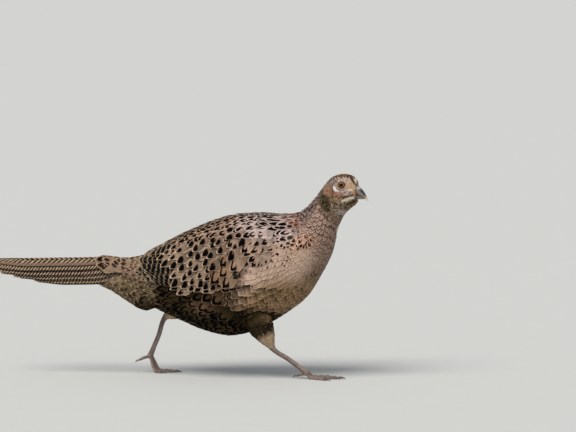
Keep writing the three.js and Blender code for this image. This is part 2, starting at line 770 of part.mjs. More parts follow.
// Toes: angle out from the foot's own line, length without the claw, thickness at the root, claw length.
const TOES = {
  middle: { angle: 0, length: 46, thick: 3.3, claw: 11, joints: 3 },
  inner: { angle: -30 * RAD, length: 32, thick: 3, claw: 9, joints: 2 },
  outer: { angle: 32 * RAD, length: 35, thick: 2.8, claw: 9, joints: 3 },
};
const HUB_RADIUS = 4.7; // of the joint where the toes meet the shank
const TOE_PAD = 0.84; // height of a toe's middle line over the floor, as a share of its half thickness
const CLAW_REST = 0.6; // height of a claw's tip over the floor
const CLAW_ARCH = 0.8; // how far a claw bows up at its middle
const CLAW_SHARE = 0.6; // half a claw's height, as a share of its toe's thickness
const HIND_DROP = 1.6; // how far the raised claw bends down
const HALLUX = { length: 16, thick: 2.2, claw: 6, joints: 1, lowest: 4 };

function vector(list) {
  return new V3(...list);
}

// A ring round a point of a limb, in the plane across its direction: wide is sideways and deep fore and aft.
function limbRing(centre, along, wide, deep, round, step = 0) {
  const side = new V3(0, 1, 0);
  side.addScaledVector(along, -side.dot(along)).normalize();
  const front = side.clone().cross(along).normalize();
  const ring = [];
  for (let j = 0; j < round; j += 1) {
    const angle = (2 * Math.PI * j) / round;
    const forward = Math.cos(angle);
    ring.push(centre.clone()
      .addScaledVector(front, -(deep + (forward < 0 ? step : 0)) * forward)
      .addScaledVector(side, wide * Math.sin(angle)));
  }
  return ring;
}

// The feathered part of the leg, from inside the belly to just above the heel.
function thigh(leg) {
  const hip = vector(leg.hip);
  const heel = vector(leg.heel);
  const along = heel.clone().sub(hip).normalize();
  const rings = THIGH.map(([share, wide, deep]) => {
    return limbRing(hip.clone().lerp(heel, share), along, wide, deep, ROUND_THIGH);
  });
  return solid(loft(rings)).subtract(torsoClear);
}

// The bare shank, with its scutes as low steps down the front.
function shank(leg) {
  const hip = vector(leg.hip);
  const heel = vector(leg.heel);
  const knuckle = vector(leg.knuckle);
  const along = knuckle.clone().sub(heel).normalize();
  const start = heel.clone().sub(hip).normalize();
  const length = heel.distanceTo(knuckle);
  const rings = [limbRing(heel.clone().addScaledVector(start, -1.1), start, 3.5, 3.8, SHANK.sides)];
  for (let i = 0; i < SHANK.scutes; i += 1) {
    for (const end of [0.06, 0.94]) {
      const share = 0.05 + (0.86 * (i + end)) / SHANK.scutes;
      const swell = 1 + 0.3 * Math.exp(-((share / 0.1) ** 2)) + 0.2 * Math.exp(-(((share - 1) / 0.15) ** 2));
      const step = end < 0.5 ? SHANK.step : 0;
      const at = heel.clone().addScaledVector(along, length * share);
      rings.push(limbRing(at, along, SHANK.wide * swell, SHANK.deep * swell, SHANK.sides, step));
    }
  }
  return solid(loft(rings));
}

// The middle line of a toe: down from the knuckle to the floor, then flat along it.
function toeLine(leg, toe) {
  const knuckle = vector(leg.knuckle);
  const out = new V3(Math.cos(toe.angle), Math.sin(toe.angle) * leg.hand, 0);
  const reach = leg.reach * (0.4 + 0.6 * (toe.length / TOES.middle.length));
  const landing = knuckle.clone().addScaledVector(out, reach).setZ(1);
  const flat = toe.length - landing.distanceTo(knuckle);
  const end = landing.clone().addScaledVector(out, flat);
  const half = landing.clone().lerp(end, 0.5);
  return new THREE.CatmullRomCurve3([knuckle, landing, half, end], false, "centripetal");
}

function toeBody(line, toe, rise) {
  const steps = 2 * toe.joints + 1;
  const rings = [];
  for (let i = 0; i <= steps; i += 1) {
    const share = i / steps;
    const swell = i % 2 === 0 ? 1.08 : 0.9;
    const thick = toe.thick * (1 - 0.32 * share) * (i === steps ? 0.62 : swell) + rise;
    const centre = line.getPointAt(share);
    centre.z = Math.max(centre.z, TOE_PAD * thick);
    rings.push(limbRing(centre, line.getTangentAt(share), thick, thick, 8));
  }
  return solid(loft(rings));
}

// A claw: a tapered horn that bends down to the floor, or to its own tip on the raised toe.
function clawBody(start, along, thick, length, drop) {
  const rings = [];
  const steps = 4;
  for (let i = 0; i <= steps; i += 1) {
    const share = i / steps;
    const centre = start.clone().addScaledVector(along, GAP + length * share);
    centre.z += CLAW_ARCH * Math.sin(Math.PI * share) - drop * share ** 2;
    const size = thick * (1 - 0.86 * share ** 1.3);
    rings.push(limbRing(centre, along, size * 0.8, size, 6));
  }
  return solid(loft(rings));
}

// The joint where the toes meet the shank.
function hubBall(leg, rise) {
  const ball = new THREE.SphereGeometry(HUB_RADIUS + rise, 10, 7);
  ball.translate(...leg.knuckle);
  return solid(ball);
}

// What lies under the floor, to be cut off the feet.
function floorCut() {
  const box = new THREE.BoxGeometry(600, 300, 50);
  box.translate(0, 0, -25);
  return solid(box);
}

// The raised hind toe: from the shank above the knuckle, back and down.
function hindToeLine(leg) {
  const knuckle = vector(leg.knuckle);
  const start = knuckle.clone().add(new V3(-1, 0, -1));
  const along = new V3(-0.86, -0.25 * leg.hand, -0.3).normalize();
  const end = start.clone().addScaledVector(along, HALLUX.length);
  end.z = Math.max(end.z, HALLUX.lowest);
  return new THREE.CatmullRomCurve3([start, start.clone().lerp(end, 0.5).add(new V3(0, 0, 0.8)), end]);
}

for (const [side] of hands) {
  const leg = LEGS[side];
  addPiece(`thigh_${side}`, thigh(leg), FINISH.body);
  const clear = joined([hubBall(leg, GAP), toeBody(hindToeLine(leg), HALLUX, GAP)]);
  addPiece(`shank_${side}`, shank(leg).subtract(clear), FINISH.leg);
  const parts = [hubBall(leg, 0)];
  const lines = Object.entries(TOES).map(([name, toe]) => [name, toe, toeLine(leg, toe)]);
  lines.push(["hind", HALLUX, hindToeLine(leg)]);
  for (const [name, toe, line] of lines) {
    parts.push(toeBody(line, toe, 0));
    const end = line.getPointAt(1);
    const size = toe.thick * CLAW_SHARE;
    end.z = Math.max(end.z, size);
    const drop = name === "hind" ? HIND_DROP : end.z - CLAW_REST;
    const claw = clawBody(end, line.getTangentAt(1), size, toe.claw, drop);
    addPiece(`claw_${name}_${side}`, claw.subtract(floorCut()), FINISH.claw);
  }
  addPiece(`foot_${side}`, joined(parts).subtract(floorCut()), FINISH.leg);
}

// The origin is on the floor under the middle of the whole bird.
const bounds = new THREE.Box3().setFromObject(bird);
bird.position.set(-(bounds.min.x + bounds.max.x) / 2, -(bounds.min.y + bounds.max.y) / 2, -bounds.min.z);

export default bird;
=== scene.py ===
"""A hen common pheasant at life size, walking, as a still museum model.

The bird's shape is worked out in millimetres in its own frame, with the bill towards +X and the right side
towards -Y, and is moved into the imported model's frame as each mesh is made.
"""

import bpy
import numpy as np
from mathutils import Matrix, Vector


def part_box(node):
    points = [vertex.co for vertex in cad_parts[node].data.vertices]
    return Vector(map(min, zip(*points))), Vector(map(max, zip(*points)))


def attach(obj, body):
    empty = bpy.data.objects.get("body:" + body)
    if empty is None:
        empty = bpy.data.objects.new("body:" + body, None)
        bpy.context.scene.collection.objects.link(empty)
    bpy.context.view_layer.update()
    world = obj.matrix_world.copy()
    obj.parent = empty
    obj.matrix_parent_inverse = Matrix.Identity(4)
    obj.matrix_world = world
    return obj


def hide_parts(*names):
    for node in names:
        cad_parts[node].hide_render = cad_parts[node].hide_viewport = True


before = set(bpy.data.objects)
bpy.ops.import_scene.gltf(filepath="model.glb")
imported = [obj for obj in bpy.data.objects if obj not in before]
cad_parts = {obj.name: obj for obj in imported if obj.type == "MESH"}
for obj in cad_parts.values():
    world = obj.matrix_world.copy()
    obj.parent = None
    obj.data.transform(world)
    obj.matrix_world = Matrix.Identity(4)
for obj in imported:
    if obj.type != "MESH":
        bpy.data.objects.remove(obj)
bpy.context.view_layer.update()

bl_info = {
    "name": "Hen pheasant",
    "version": (1, 0, 0),
    "blender": (4, 5, 0),
    "location": "3D View > Sidebar > Pheasant",
    "description": "Builds the skin, plumage, bill, eyes and legs of a hen pheasant around its frame",
    "category": "Add Mesh",
}

MM = 0.001
TAU = 2 * np.pi
RIGHT = -1
LEFT = 1
SIDES = (("right", RIGHT), ("left", LEFT))

# Cross-sections of the torso, neck and head, tail end first: back x and z, belly x and z, half width, the
# share of the way down where it is widest, and its fullness, where 2 is an ellipse.
SECTIONS = np.array([
    [-140, 160, -146, 128, 16, 0.48, 2.0],
    [-122, 170, -128, 106, 29, 0.48, 2.05],
    [-98, 184, -100, 92, 40, 0.49, 2.1],
    [-68, 200, -68, 78, 50, 0.5, 2.15],
    [-34, 215, -34, 64, 54, 0.52, 2.2],
    [4, 227, 4, 57.5, 56, 0.53, 2.2],
    [40, 230, 44, 69, 57, 0.52, 2.2],
    [68, 229, 82, 91, 56, 0.52, 2.15],
    [86, 229, 110, 114, 51, 0.52, 2.1],
    [97, 231, 130, 146, 43, 0.5, 2.05],
    [105, 236, 143, 173, 33.5, 0.5, 2.0],
    [112, 243, 148.5, 194, 26, 0.5, 2.0],
    [119, 251, 151.6, 208.5, 22, 0.5, 2.0],
    [126, 259.5, 155.6, 217.8, 20, 0.5, 2.0],
    [134, 270, 161, 227.6, 17.6, 0.5, 2.1],
    [144.2, 280.6, 167, 234, 16.6, 0.5, 2.15],
    [157.3, 285.2, 172.6, 238.6, 14.6, 0.48, 2.15],
    [170.5, 284.6, 177.6, 242.4, 11.6, 0.46, 2.1],
    [180.2, 279, 181.6, 245.4, 8.4, 0.46, 2.05],
    [185.4, 271, 184, 248.4, 5.4, 0.46, 2.0],
])
LAST_SECTION = len(SECTIONS) - 1
RUMP_X = SECTIONS[0, 2]
HEAD_TURN = np.radians(-16)
NECK_PIVOT_X = 135
EYE = (162, 270)  # x and z of the eyes' middles in the side view

# Places along the sections: where the head's turn begins and is full, where the head begins, and where the
# skin closes inside the bill.
TURN_FROM = 9.5
TURN_TO = 14.5
HEAD_FROM = 13.4
SKIN_END = 18.45

# The low end of the torso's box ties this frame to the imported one. The rounded solid ends a little in front
# of the first section's belly point.
TORSO_ROUNDING = 0.147
TORSO_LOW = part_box("torso")[0]
SHIFT = np.array([TORSO_LOW.x / MM - RUMP_X - TORSO_ROUNDING, 0.0, 0.0])
UP = np.array([0, 0, 1.0])


def smooth(value, low, high):
    """0 below low, 1 above high and 3f^2 - 2f^3 between."""
    f = np.clip((value - low) / (high - low), 0, 1)
    return f * f * (3 - 2 * f)


def unit(vectors):
    """Vectors along the last axis, made one long."""
    return vectors / np.maximum(np.linalg.norm(vectors, axis=-1, keepdims=True), 1e-12)


def blend(a, b, share):
    """From a to b by a share."""
    return a + (b - a) * share


def lit(red, green, blue):
    """A display colour of 0 to 255 as a linear colour: ((c + 0.055) / 1.055)^2.4."""
    c = np.array([red, green, blue]) / 255
    return tuple(((c + 0.055) / 1.055) ** 2.4)


def cubic(table, knots, at):
    """Rows between a table's rows, by cubics through them whose slopes are those between their neighbours."""
    slopes = np.gradient(table, knots, axis=0)
    k = np.clip(np.searchsorted(knots, at, side="right") - 1, 0, len(table) - 2)
    h = (knots[k + 1] - knots[k])[..., None]
    f = (at - knots[k])[..., None] / h
    return (table[k] * (1 - f) ** 2 * (1 + 2 * f) + slopes[k] * h * f * (1 - f) ** 2
            + table[k + 1] * f ** 2 * (3 - 2 * f) + slopes[k + 1] * h * f ** 2 * (f - 1))


def section(place):
    """The cross-section at a fractional place, by cubics through the stated ones."""
    value = cubic(SECTIONS, np.arange(len(SECTIONS)), place)
    value[..., 4] = np.maximum(value[..., 4], 1)
    return value


def body_surface(place, angle):
    """The bird's outer surface before the head's turn: a superellipse in each section's plane, with angle 0
    at the back line, a quarter turn at the left side and half a turn at the belly line."""
    bx, bz, vx, vz, half, widest, full = np.moveaxis(section(place), -1, 0)
    c = np.cos(angle)
    s = np.sin(angle)
    bend = np.abs(c) ** (2 / full)
    down = np.where(c > 0, widest * (1 - bend), widest + (1 - widest) * bend)
    out = half * np.sign(s) * np.abs(s) ** (2 / full)
    return np.stack([bx + (vx - bx) * down, out, bz + (vz - bz) * down], -1)


def turned(points, share=1.0):
    """Points turned about the neck's upright axis by a share of the head's turn."""
    angle = HEAD_TURN * share
    x = points[..., 0] - NECK_PIVOT_X
    y = points[..., 1]
    c = np.cos(angle)
    s = np.sin(angle)
    return np.stack([NECK_PIVOT_X + x * c - y * s, x * s + y * c, points[..., 2]], -1)


def body_place(x, z, low=0.0, high=LAST_SECTION):
    """Place and left-hand angle of the surface at (x, z) of the side view, found by halving: the section
    whose plane holds the point, then the angle whose share of the way down is the point's."""
    x, z = np.broadcast_arrays(np.asarray(x, float), np.asarray(z, float))
    lower = np.full(x.shape, float(low))
    upper = np.full(x.shape, float(high))
    for _ in range(24):
        middle = (lower + upper) / 2
        bx, bz, vx, vz = np.moveaxis(section(middle)[..., :4], -1, 0)
        ahead = (x - bx) * (bz - vz) - (bz - z) * (vx - bx) > 0
        lower = np.where(ahead, middle, lower)
        upper = np.where(ahead, upper, middle)
    bx, bz, vx, vz, _, widest, full = np.moveaxis(section(lower), -1, 0)
    down = ((x - bx) * (vx - bx) + (z - bz) * (vz - bz)) / ((vx - bx) ** 2 + (vz - bz) ** 2)
    height = np.where(down < widest, 1 - down / widest, (down - widest) / (1 - widest))
    cosine = np.clip(height, 0, 0.999) ** (full / 2)
    return lower, np.where(down < widest, np.arccos(cosine), np.pi - np.arccos(cosine))


def lifted(surface, a, b, rise):
    """A surface's points moved out along its normal, the cross product of its two slopes."""
    e = 0.02
    along = surface(a + e, b) - surface(a - e, b)
    across = surface(a, b + e) - surface(a, b - e)
    return surface(a, b) + unit(np.cross(along, across)) * np.asarray(rise)[..., None]


def body_skin(place, angle, rise):
    """A point of the bird's surface, lifted along its normal and turned with the head."""
    points = lifted(body_surface, place, angle, rise)
    return turned(points, smooth(place, TURN_FROM, TURN_TO))


# Meshes


def to_frame(points):
    """Millimetres of the bird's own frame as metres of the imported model's."""
    return (points.reshape(-1, 3) + SHIFT) * MM


def make_piece(name, points, quads, triangles=None):
    """A mesh object from points in millimetres and arrays of four- and three-cornered faces."""
    faces = [np.asarray(part) for part in (quads, triangles) if part is not None and len(part)]
    corners = np.concatenate([part.ravel() for part in faces]).astype(np.int32)
    sizes = np.concatenate([np.full(len(part), part.shape[1]) for part in faces])
    starts = (np.cumsum(sizes) - sizes).astype(np.int32)
    mesh = bpy.data.meshes.new(name)
    places = to_frame(points).astype(np.float32)
    mesh.vertices.add(len(places))
    mesh.vertices.foreach_set("co", places.ravel())
    mesh.loops.add(len(corners))
    mesh.loops.foreach_set("vertex_index", corners)
    mesh.polygons.add(len(starts))
    mesh.polygons.foreach_set("loop_start", starts)
    mesh.update(calc_edges=True)
    mesh.shade_smooth()
    piece = bpy.data.objects.new(name, mesh)
    bpy.context.scene.collection.objects.link(piece)
    return piece


def dress(piece, material, slot, *nodes):
    """Gives a piece its material, and has it ride on the body in place of any CAD nodes. Its slot is not
    used."""
    piece.data.materials.append(material)
    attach(piece, "root")
    if nodes:
        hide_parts(*nodes)
    return piece


def add_map(piece, name, values):
    """A UV map whose values are given for each point."""
    mesh = piece.data
    corners = np.empty(len(mesh.loops), np.int32)
    mesh.loops.foreach_get("vertex_index", corners)
    layer = mesh.uv_layers.new(name=name)
    layer.uv.foreach_set("vector", values[corners].astype(np.float32).ravel())


def add_colour(piece, name, values):
    """A colour for each point."""
    layer = piece.data.attributes.new(name, "FLOAT_COLOR", "POINT")
    full = np.ones((len(values), 4), np.float32)
    full[:, :3] = values
    layer.data.foreach_set("color", full.ravel())


def add_vector(piece, name, values):
    """Three numbers for each point."""
    layer = piece.data.attributes.new(name, "FLOAT_VECTOR", "POINT")
    layer.data.foreach_set("vector", values.astype(np.float32).ravel())


def turns(count):
    """Angles evenly spread round a circle."""
    return np.arange(count) * TAU / count


def grid_faces(rows, columns, closed=False):
    """Quads over a grid of points, whose columns join up when it is closed."""
    i = np.arange(rows - 1)[:, None] * columns
    j = np.arange(columns if closed else columns - 1)[None, :]
    k = (j + 1) % columns
    return np.stack([i + j, i + k, i + k + columns, i + j + columns], -1).reshape(-1, 4)


def tube(rings):
    """Points and faces of a closed tube through rings of points, with a point in the middle of each end."""
    rows, columns = rings.shape[:2]
    first = rows * columns
    points = np.concatenate([rings.reshape(-1, 3), [rings[0].mean(0)], [rings[-1].mean(0)]])
    j = np.arange(columns)
    k = (j + 1) % columns
    last = (rows - 1) * columns
    caps = np.concatenate([
        np.stack([k, j, np.full(columns, first)], -1),
        np.stack([last + j, last + k, np.full(columns, first + 1)], -1),
    ])
    return points, grid_faces(rows, columns, True), caps


def merged(parts):
    """Points and faces of several tubes as one set."""
    shift = 0
    points, quads, caps = [], [], []
    for part_points, part_quads, part_caps in parts:
        points.append(part_points)
        quads.append(part_quads + shift)
        caps.append(part_caps + shift)
        shift += len(part_points)
    return np.concatenate(points), np.concatenate(quads), np.concatenate(caps)


def outwards(points, quads, caps=np.zeros((0, 3), int)):
    """The same faces, turned round if the volume that they close is negative."""
    triangles = np.concatenate([quads[:, [0, 1, 2]], quads[:, [0, 2, 3]], caps])
    a, b, c = points[triangles[:, 0]], points[triangles[:, 1]], points[triangles[:, 2]]
    if np.einsum("ij,ij->", a, np.cross(b, c)) < 0:
        return points, quads[:, ::-1], caps[:, ::-1]
    return points, quads, caps


# Materials


class Value:
    """A number, colour or vector of a material, on which Python's operators add Math nodes."""

    def __init__(self, paint, socket):
        self.paint = paint
        self.socket = socket

    def math(self, operation, *others):
        """The result of a Math node on this number and others."""
        return self.paint.node("ShaderNodeMath", {"operation": operation}, dict(enumerate([self, *others])))

    def __add__(self, other):
        return self.math("ADD", other)

    __radd__ = __add__

    def __mul__(self, other):
        return self.math("MULTIPLY", other)

    __rmul__ = __mul__

    def __sub__(self, other):
        return self.math("SUBTRACT", other)

    def __rsub__(self, other):
        return self.paint.node("ShaderNodeMath", {"operation": "SUBTRACT"}, {0: other, 1: self})

    def __truediv__(self, other):
        return self.math("DIVIDE", other)

    def size(self):
        """The number without its sign."""
        return self.math("ABSOLUTE")

    def sine(self):
        """The sine of an angle in radians."""
        return self.math("SINE")

    def least(self, other):
        """The smaller of two numbers."""
        return self.math("MINIMUM", other)

    def most(self, other):
        """The larger of two numbers."""
        return self.math("MAXIMUM", other)

    def step(self, low, high):
        """0 at low, 1 at high and smooth between; low may be the larger."""
        settings = {"interpolation_type": "SMOOTHSTEP"}
        return self.paint.node("ShaderNodeMapRange", settings, {0: self, 1: low, 2: high})

    def parts(self):
        """The three numbers of a vector."""
        made = self.paint.raw("ShaderNodeSeparateXYZ", {}, {0: self})
        return [Value(self.paint, made.outputs[i]) for i in range(3)]


class Paint:
    """A material under construction."""

    def __init__(self, name):
        self.material = bpy.data.materials.new(name)
        self.material.use_nodes = True
        self.tree = self.material.node_tree
        self.shader = self.tree.nodes["Principled BSDF"]

    def raw(self, kind, settings, inputs):
        """A node of a type, with its settings made first and then the values or links of its sockets."""
        made = self.tree.nodes.new(kind)
        for name, value in settings.items():
            setattr(made, name, value)
        for key, value in inputs.items():
            if isinstance(value, Value):
                self.tree.links.new(value.socket, made.inputs[key])
            else:
                made.inputs[key].default_value = value
        return made

    def node(self, kind, settings, inputs, output=0):
        """One output of a new node."""
        return Value(self, self.raw(kind, settings, inputs).outputs[output])

    def attribute(self, name, colour=False):
        """A colour or vector that the mesh holds for each point."""
        return self.node("ShaderNodeAttribute", {"attribute_name": name}, {}, 0 if colour else 1)

    def uv(self, name):
        """The place on one of the mesh's UV maps."""
        return self.node("ShaderNodeUVMap", {"uv_map": name}, {})

    def where(self):
        """The point's place on the object, in metres."""
        return self.node("ShaderNodeTexCoord", {}, {}, 3)

    def noise(self, scale, detail=2.0, at=None, stretch=None):
        """Noise round 0.5, with about scale grains to the metre where no other place is given."""
        at = at or self.where()
        if stretch:
            at = self.node("ShaderNodeVectorMath", {"operation": "MULTIPLY"}, {0: at, 1: stretch})
        return self.node("ShaderNodeTexNoise", {}, {"Vector": at, "Scale": scale, "Detail": detail})

    def mix(self, share, a, b, mode="MIX"):
        """From colour a to colour b by a share."""
        colours = [v if isinstance(v, Value) else (*v, 1.0) for v in (a, b)]
        settings = {"data_type": "RGBA", "blend_type": mode, "clamp_factor": True}
        return self.node("ShaderNodeMix", settings, {0: share, 6: colours[0], 7: colours[1]}, 2)

    def scaled(self, colour, share):
        """A colour made darker or lighter by a share."""
        grey = self.node("ShaderNodeCombineColor", {}, {0: share, 1: share, 2: share})
        return self.mix(1.0, colour, grey, "MULTIPLY")

    def bump(self, height, distance, strength=1.0):
        """The normal of a surface with a height on it, of which 1 is distance metres."""
        return self.node("ShaderNodeBump", {}, {"Height": height, "Distance": distance, "Strength": strength})

    def finish(self, inputs):
        """Sets or links the main shader's sockets and gives the material."""
        for name, value in inputs.items():
            if isinstance(value, Value):
                self.tree.links.new(value.socket, self.shader.inputs[name])
            else:
                self.shader.inputs[name].default_value = value
        return self.material


def vane_coordinates(paint):
    """Across a feather from -1 to 1, along it from 0 to 1, and how far in from the side edge."""
    across, along, _ = paint.uv("Vane").parts()
    across = across * 2 - 1
    return across, along, 1 - across.size()


def ellipse(across, along, middle, half_wide, half_long):
    """1 inside an ellipse on the feather and 0 outside, with a soft edge."""
    a = across / half_wide
    b = (along - middle) / half_long
    return (a * a + b * b).step(1.25, 0.75)


def feather_material(name, ink, rufous, lean=0.0, root=0.5, clear=0.66, mottle=0.0):
    """Small feathers: a base colour, an edge of another, an oval dark mark behind the tip that is more or
    less open towards the root, lies in a rufous halo and can lean across the feather, a pale shaft and
    barbs. root is how light the covered end is, darkened partly as the grey down of a feather's base and
    partly as painted shade under the feathers that overlie it; clear is where that darkening ends, and mottle
    is the scale of patches that spread over several feathers."""
    paint = Paint(name)
    across, along, inside = vane_coordinates(paint)
    strength, size, hollow = paint.attribute("mark").parts()
    glow, fringe_share, chance = paint.attribute("edging").parts()
    base, fringe = (paint.attribute(key, True) for key in ("base", "fringe"))
    rough = paint.noise(420.0, 2.0)
    wobble = (rough - 0.5) * 0.35
    near_edge = inside.least((1 - along) * 2.6) + wobble * 0.4
    edge = near_edge.step(fringe_share, fringe_share * 0.6)
    colour = paint.mix(edge.most(chance.step(0.2, 0.9) * 0.3), base, fringe)
    shaft = (across + wobble * 0.1).size().step(0.075, 0.02) * along.step(0.95, 0.6)
    colour = paint.mix(shaft * 0.15, colour, fringe)
    if mottle:
        cloud = paint.noise(mottle, 1.0)
        colour = paint.mix(cloud.step(0.5, 0.4) * strength, colour, ink)
        colour = paint.mix(cloud.step(0.54, 0.64) * strength, colour, fringe)
    middle = 0.81 - size * 0.02
    half_wide = size * 0.38
    half_long = size * 0.115
    wide = across + wobble - (along - middle) * lean
    long = along + wobble * 0.12
    halo = ellipse(wide, long, middle, half_wide + 0.16, half_long + 0.045)
    mark = ellipse(wide, long, middle, half_wide, half_long)
    open_by = (hollow + chance * 0.6 - 0.3).step(0.0, 0.9) + 0.01
    hole = ellipse(wide, long, middle - size * 0.08, half_wide * 0.5 * open_by, half_long * open_by)
    dark = mark * (1 - hole)
    colour = paint.mix(halo * (1 - dark) * glow, colour, rufous)
    colour = paint.mix(dark * strength, colour, ink)
    barbs = (along * 150 + across.size() * 34).sine() * 0.5 + 0.5
    # Painted shade: the covered end is darkened, partly as grey down and partly as shade under the feathers
    # that overlie it.
    shade = blend_value(root, 1.0, along.step(clear - 0.5, clear))
    shade = shade * (0.9 + barbs * 0.1) * (0.88 + chance * 0.24)
    colour = paint.scaled(colour, shade * (0.8 + rough * 0.4))
    relief = barbs * 0.4 + rough * 0.6 + shaft * 0.8
    return paint.finish({
        "Base Color": colour,
        "Roughness": 0.8,
        "Specular IOR Level": 0.03,
        "Normal": paint.bump(relief, 0.00025, 0.5),
    })


def quill_material(name, dark, pale, ground, fill, slant, clear, border):
    """Long feathers: a ground colour with dark bars edged by pale ones, a shaft and fine barbs. The mark
    attribute holds the number of bars, their strength and where they start. A bar is dark where a sine is
    over fill, slants across the feather and fades within clear of the shaft; the glow number of a feather
    leaves its lower half plain, and border is how dark its lower edge is, a painted shadow line between
    neighbouring feathers."""
    paint = Paint(name)
    across, along, _ = vane_coordinates(paint)
    bars, strength, start = paint.attribute("mark").parts()
    plain, _, chance = paint.attribute("edging").parts()
    rough = paint.noise(260.0, 3.0)
    wave = ((along * bars + across * slant + start + (rough - 0.5) * 0.7) * TAU).sine()
    barred = (across.size() + 0.1 + rough * 0.2).step(clear, clear + 0.3) * strength
    barred = barred * (1 - plain * (across + rough * 0.3).step(0.42, 0.68))
    colour = paint.mix(wave.step(fill - 0.2, fill - 0.6) * barred * 0.85, ground, pale)
    colour = paint.mix(wave.step(fill - 0.15, fill + 0.15) * barred, colour, dark)
    colour = paint.mix((1 - along).step(0.03, 0.01) * 0.75, colour, pale)
    # Painted shadow: a dark line along each feather's lower edge, where it meets the next one.
    colour = paint.mix((across + rough * 0.1).step(0.84, 0.98) * border, colour, dark)
    shaft = across.size().step(0.07, 0.03)
    colour = paint.mix(shaft * 0.5, colour, lit(120, 96, 76))
    barbs = (along * 420 + across.size() * 40).sine() * 0.5 + 0.5
    shade = (0.88 + barbs * 0.12) * (0.93 + chance * 0.14) * (0.85 + rough * 0.3)
    relief = barbs * 0.4 + shaft * 1.2 + rough * 0.4
    return paint.finish({
        "Base Color": paint.scaled(colour, shade),
        "Roughness": 0.7,
        "Specular IOR Level": 0.05,
        "Normal": paint.bump(relief, 0.0003, 0.6),
    })


def blend_value(low, high, share):
    """From a number to another by a share that is a material's value."""
    return share * (high - low) + low


# The coat


SEEN = 0.72  # how far along its length the middle of a feather's bare part is


def chances(seed, *shape):
    """Seeded numbers from 0 to 1."""
    return np.random.default_rng(seed).random(shape)


class Roots:
    """Where feathers are rooted on a surface of two parameters, and which way each one lies."""

    def __init__(self, surface, a, b, heading):
        self.surface = surface
        self.a = a
        self.b = b
        e = 0.01
        along = (surface(a + e, b) - surface(a - e, b)) / (2 * e)
        across = (surface(a, b + e) - surface(a, b - e)) / (2 * e)
        self.point = surface(a, b)
        self.normal = unit(np.cross(along, across))
        lie = unit(heading - self.normal * np.sum(heading * self.normal, -1, keepdims=True))
        side = np.cross(self.normal, lie)
        self.lie = self.steps(along, across, lie)
        self.side = self.steps(along, across, side)

    @staticmethod
    def steps(along, across, wanted):
        """The steps of both parameters that move a point a millimetre the wanted way, by least squares."""
        aa = np.sum(along * along, -1)
        ab = np.sum(along * across, -1)
        bb = np.sum(across * across, -1)
        p = np.sum(along * wanted, -1)
        q = np.sum(across * wanted, -1)
        det = aa * bb - ab * ab
        return np.stack([(p * bb - q * ab) / det, (q * aa - p * ab) / det], -1)

    def reach(self, back, out, rise):
        """Points so far behind each root, to its side and off the surface."""
        a = self.a[:, None, None] + self.lie[:, 0, None, None] * back + self.side[:, 0, None, None] * out
        b = self.b[:, None, None] + self.lie[:, 1, None, None] * back + self.side[:, 1, None, None] * out
        return lifted(self.surface, a, b, rise)

    def ahead(self, back):
        """The surface point so far behind each root, where its feather shows."""
        back = back[:, None, None]
        return self.reach(back, 0 * back, 0 * back)[:, 0, 0]

    def side_view(self):
        """x and z of each root."""
        return self.point[:, 0], self.point[:, 2]

    def keep(self, which):
        """Only the roots that a mask names."""
        for name in ("a", "b", "point", "normal", "lie", "side"):
            setattr(self, name, getattr(self, name)[which])
        return self


def vane_grid(rows, columns):
    """Along and across of a feather's grid, closer together near the tip."""
    along = np.linspace(0, 1, rows) ** 0.85
    across = np.linspace(-1, 1, columns)
    return np.meshgrid(along, across, indexing="ij")


def vane_width(along):
    """Half width as a share: it swells from the root to two thirds and draws in by half towards the tip."""
    return blend(0.4, 1, smooth(along, 0, 0.6)) * (1 - 0.5 * smooth(along, 0.72, 1.02))


def vane_mesh(top, bottom):
    """Points and faces of closed feathers from grids of their upper and lower faces, (n, rows, columns, 3),
    which share their rims. Also gives, for each point, its index into the grid, and whether it is on the
    rim."""
    count, rows, columns = top.shape[:3]
    index = np.arange(rows * columns).reshape(rows, columns)
    inner = index[1:-1, 1:-1].ravel()
    under = index.copy()
    under[1:-1, 1:-1] = rows * columns + np.arange(len(inner)).reshape(rows - 2, columns - 2)
    upper = np.stack([index[:-1, :-1], index[:-1, 1:], index[1:, 1:], index[1:, :-1]], -1)
    lower = np.stack([under[:-1, :-1], under[1:, :-1], under[1:, 1:], under[:-1, 1:]], -1)
    faces = np.concatenate([upper.reshape(-1, 4), lower.reshape(-1, 4)])
    size = rows * columns + len(inner)
    points = np.concatenate([top.reshape(count, -1, 3), bottom.reshape(count, -1, 3)[:, inner]], 1)
    quads = (faces[None] + (np.arange(count) * size)[:, None, None]).reshape(-1, 4)
    grid_index = np.concatenate([index.ravel(), inner])
    rim = np.ones((rows, columns), bool)
    rim[1:-1, 1:-1] = False
    on_rim = np.concatenate([rim.ravel(), np.zeros(len(inner), bool)])
    return points.reshape(-1, 3), quads, grid_index, np.tile(on_rim, count)


def sharpen_rims(piece, on_rim):
    """Marks the edges between two rim points, so that a feather's faces are shaded apart."""
    mesh = piece.data
    ends = np.empty(len(mesh.edges) * 2, np.int32)
    mesh.edges.foreach_get("vertices", ends)
    sharp = on_rim[ends.reshape(-1, 2)].all(1)
    mesh.attributes.new("sharp_edge", "BOOLEAN", "EDGE").data.foreach_set("value", sharp)


